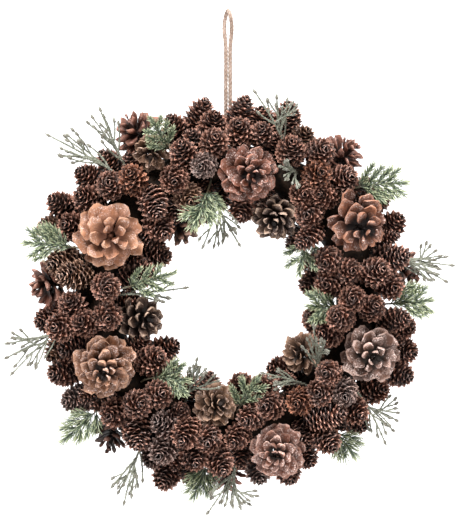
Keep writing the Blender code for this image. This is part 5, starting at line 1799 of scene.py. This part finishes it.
def side_twigs_into(bm, curve, shares, random):
    """Twigs that leave a longer one to either side and bend to run along it, each with a bud."""
    span = np.linalg.norm(curve[-1] - curve[0])
    turned = random.choice((-1, 1))
    for k, share in enumerate(shares):
        at = int(share * (len(curve) - 1))
        start = np.array(curve[at])
        heading = unit(curve[at + 1] - curve[at])
        flat = np.cross(heading, (0, 1, 0)) * turned * (-1) ** k
        out = heading + flat * random.uniform(0.25, 0.5) + np.array((0, random.uniform(-0.25, 0.15), 0))
        longest = min((1 - share) * span * random.uniform(0.75, 1.0), LONGEST_SIDE_TWIG)
        for reach in longest * np.array((1.0, 0.75, 0.5)):
            end = start + unit(out) * reach
            if reach > SHORTEST_SIDE_TWIG and in_box(end + unit(out) * 2) and is_free(start, end, 0.9):
                middle = start + (heading + flat * 0.7) * reach * 0.4
                twig_into(bm, bend(start, middle, end, 7), TWIG * 1.0, TWIG * 0.72, random)
                break


for order, ((name, *_), lines) in enumerate(zip(BUD_SPRAYS, sprays)):
    random = np.random.default_rng(500 + order)
    bm = marked_bmesh("along", "tone")
    main = smooth(list(lines[0]), 4)
    twig_into(bm, main, TWIG * 1.25, TWIG * 0.8, random)
    side_twigs_into(bm, np.array(main), (0.42, 0.5, 0.58, 0.66, 0.76), random)
    main_heading = unit(lines[0][-1] - lines[0][0])
    for start, end in lines[1:]:
        span = np.linalg.norm(end - start)
        side = start + (end - start) * 0.5 + main_heading * span * 0.08
        curve = bend(start, side, end, 9)
        twig_into(bm, curve, TWIG * 1.05, TWIG * 0.75, random)
        side_twigs_into(bm, curve, (0.25, 0.5), random)
    piece = hang(f"twigs_{name}", bm, [twig_finish], f"bud_spray_{name}")
    print(piece.name, made_triangles[piece.name], "triangles")

# %% [markdown]
# ## The studio
#
# The wreath was photographed against plain white, with soft light from the front and no shadow to
# be seen. A sheet far behind and below it gives the white, and large soft lamps light it from above,
# in front. The sheet can be seen through from its back, so the wreath shows from behind too.

# %% White sheet
paper, tree, shader = new_finish("white_paper", roughness=1.0, shine=0.0)
off_white = mix(tree, grain(tree, 400.0, 1.0), (0.80, 0.80, 0.81, 1), (0.84, 0.84, 0.84, 1))
tree.links.new(off_white, shader.inputs["Base Color"])
shader.inputs["Emission Color"].default_value = (1, 1, 1, 1)
shader.inputs["Emission Strength"].default_value = 0.62
clear = place(tree, "ShaderNodeBsdfTransparent")
one_sided = place(tree, "ShaderNodeMixShader")
tree.links.new(place(tree, "ShaderNodeNewGeometry").outputs["Backfacing"], one_sided.inputs[0])
tree.links.new(shader.outputs[0], one_sided.inputs[1])
tree.links.new(clear.outputs[0], one_sided.inputs[2])
tree.links.new(one_sided.outputs[0], tree.nodes["Material Output"].inputs["Surface"])

# In metres. The sheet's floor and wall each take this share of it, and its bend takes the rest.
SHEET_FLAT = 0.4
SHEET_RUN = 9.0
SHEET_BEND = 3.0
SHEET_BELOW = 1.5
SHEET_RISE = 6.0

bm = bmesh.new()
bmesh.ops.create_grid(bm, x_segments=1, y_segments=24, size=1.0)
for v in bm.verts:
    share = (v.co.y + 1) / 2
    turn = min(max((share - SHEET_FLAT) / (1 - 2 * SHEET_FLAT), 0.0), 1.0) * math.pi / 2
    run = (min(share / SHEET_FLAT, 1.0) - 1) * SHEET_RUN + SHEET_BEND * math.sin(turn)
    rise = SHEET_BEND * (1 - math.cos(turn)) - SHEET_BELOW
    rise += max(share - (1 - SHEET_FLAT), 0.0) / SHEET_FLAT * SHEET_RISE
    v.co = (v.co.x * SHEET_RUN, run, rise)
mesh = as_mesh(bm, "white_sheet")
mesh.materials.append(paper)
mesh.shade_smooth()
white_sheet = bpy.data.objects.new("white_sheet", mesh)
bpy.context.scene.collection.objects.link(white_sheet)
print("white sheet:", len(mesh.polygons), "faces")


# %% Lamps
def lamp(name, place_at, size, power, colour=(1, 1, 1)):
    """A square soft lamp that looks at the middle of the wreath."""
    light = bpy.data.lights.new(name, "AREA")
    light.size, light.energy, light.color = size, power, colour
    made = bpy.data.objects.new(name, light)
    made.location = place_at
    aim = TO_WORLD.translation - Vector(place_at)
    made.rotation_euler = aim.to_track_quat("-Z", "Y").to_euler()
    bpy.context.scene.collection.objects.link(made)
    return made


lamp("key", (-0.9, -1.9, 1.7), 0.6, 140)
lamp("fill", (1.6, -2.0, 0.4), 1.0, 40)
lamp("top", (0.2, -0.2, 1.8), 0.9, 40)
world = bpy.data.worlds.new("studio")
world.use_nodes = True
tree = world.node_tree
tree.nodes["Background"].inputs["Color"].default_value = (1, 1, 1, 1)
tree.nodes["Background"].inputs["Strength"].default_value = 0.22
seen_white = place(tree, "ShaderNodeBackground", {"Color": (1, 1, 1, 1), "Strength": 0.96})
seen_or_lit = place(tree, "ShaderNodeMixShader")
tree.links.new(place(tree, "ShaderNodeLightPath").outputs["Is Camera Ray"], seen_or_lit.inputs[0])
tree.links.new(tree.nodes["Background"].outputs[0], seen_or_lit.inputs[1])
tree.links.new(seen_white.outputs[0], seen_or_lit.inputs[2])
tree.links.new(seen_or_lit.outputs[0], tree.nodes["World Output"].inputs["Surface"])
bpy.context.scene.world = world
bpy.context.scene.view_settings.view_transform = "Standard"
print("lamps and world set")

# %% [markdown]
# ## The count of triangles
#
# The last line prints how many triangles the pieces have in all.

# %% Finish
print("triangles in all:", sum(made_triangles.values()))
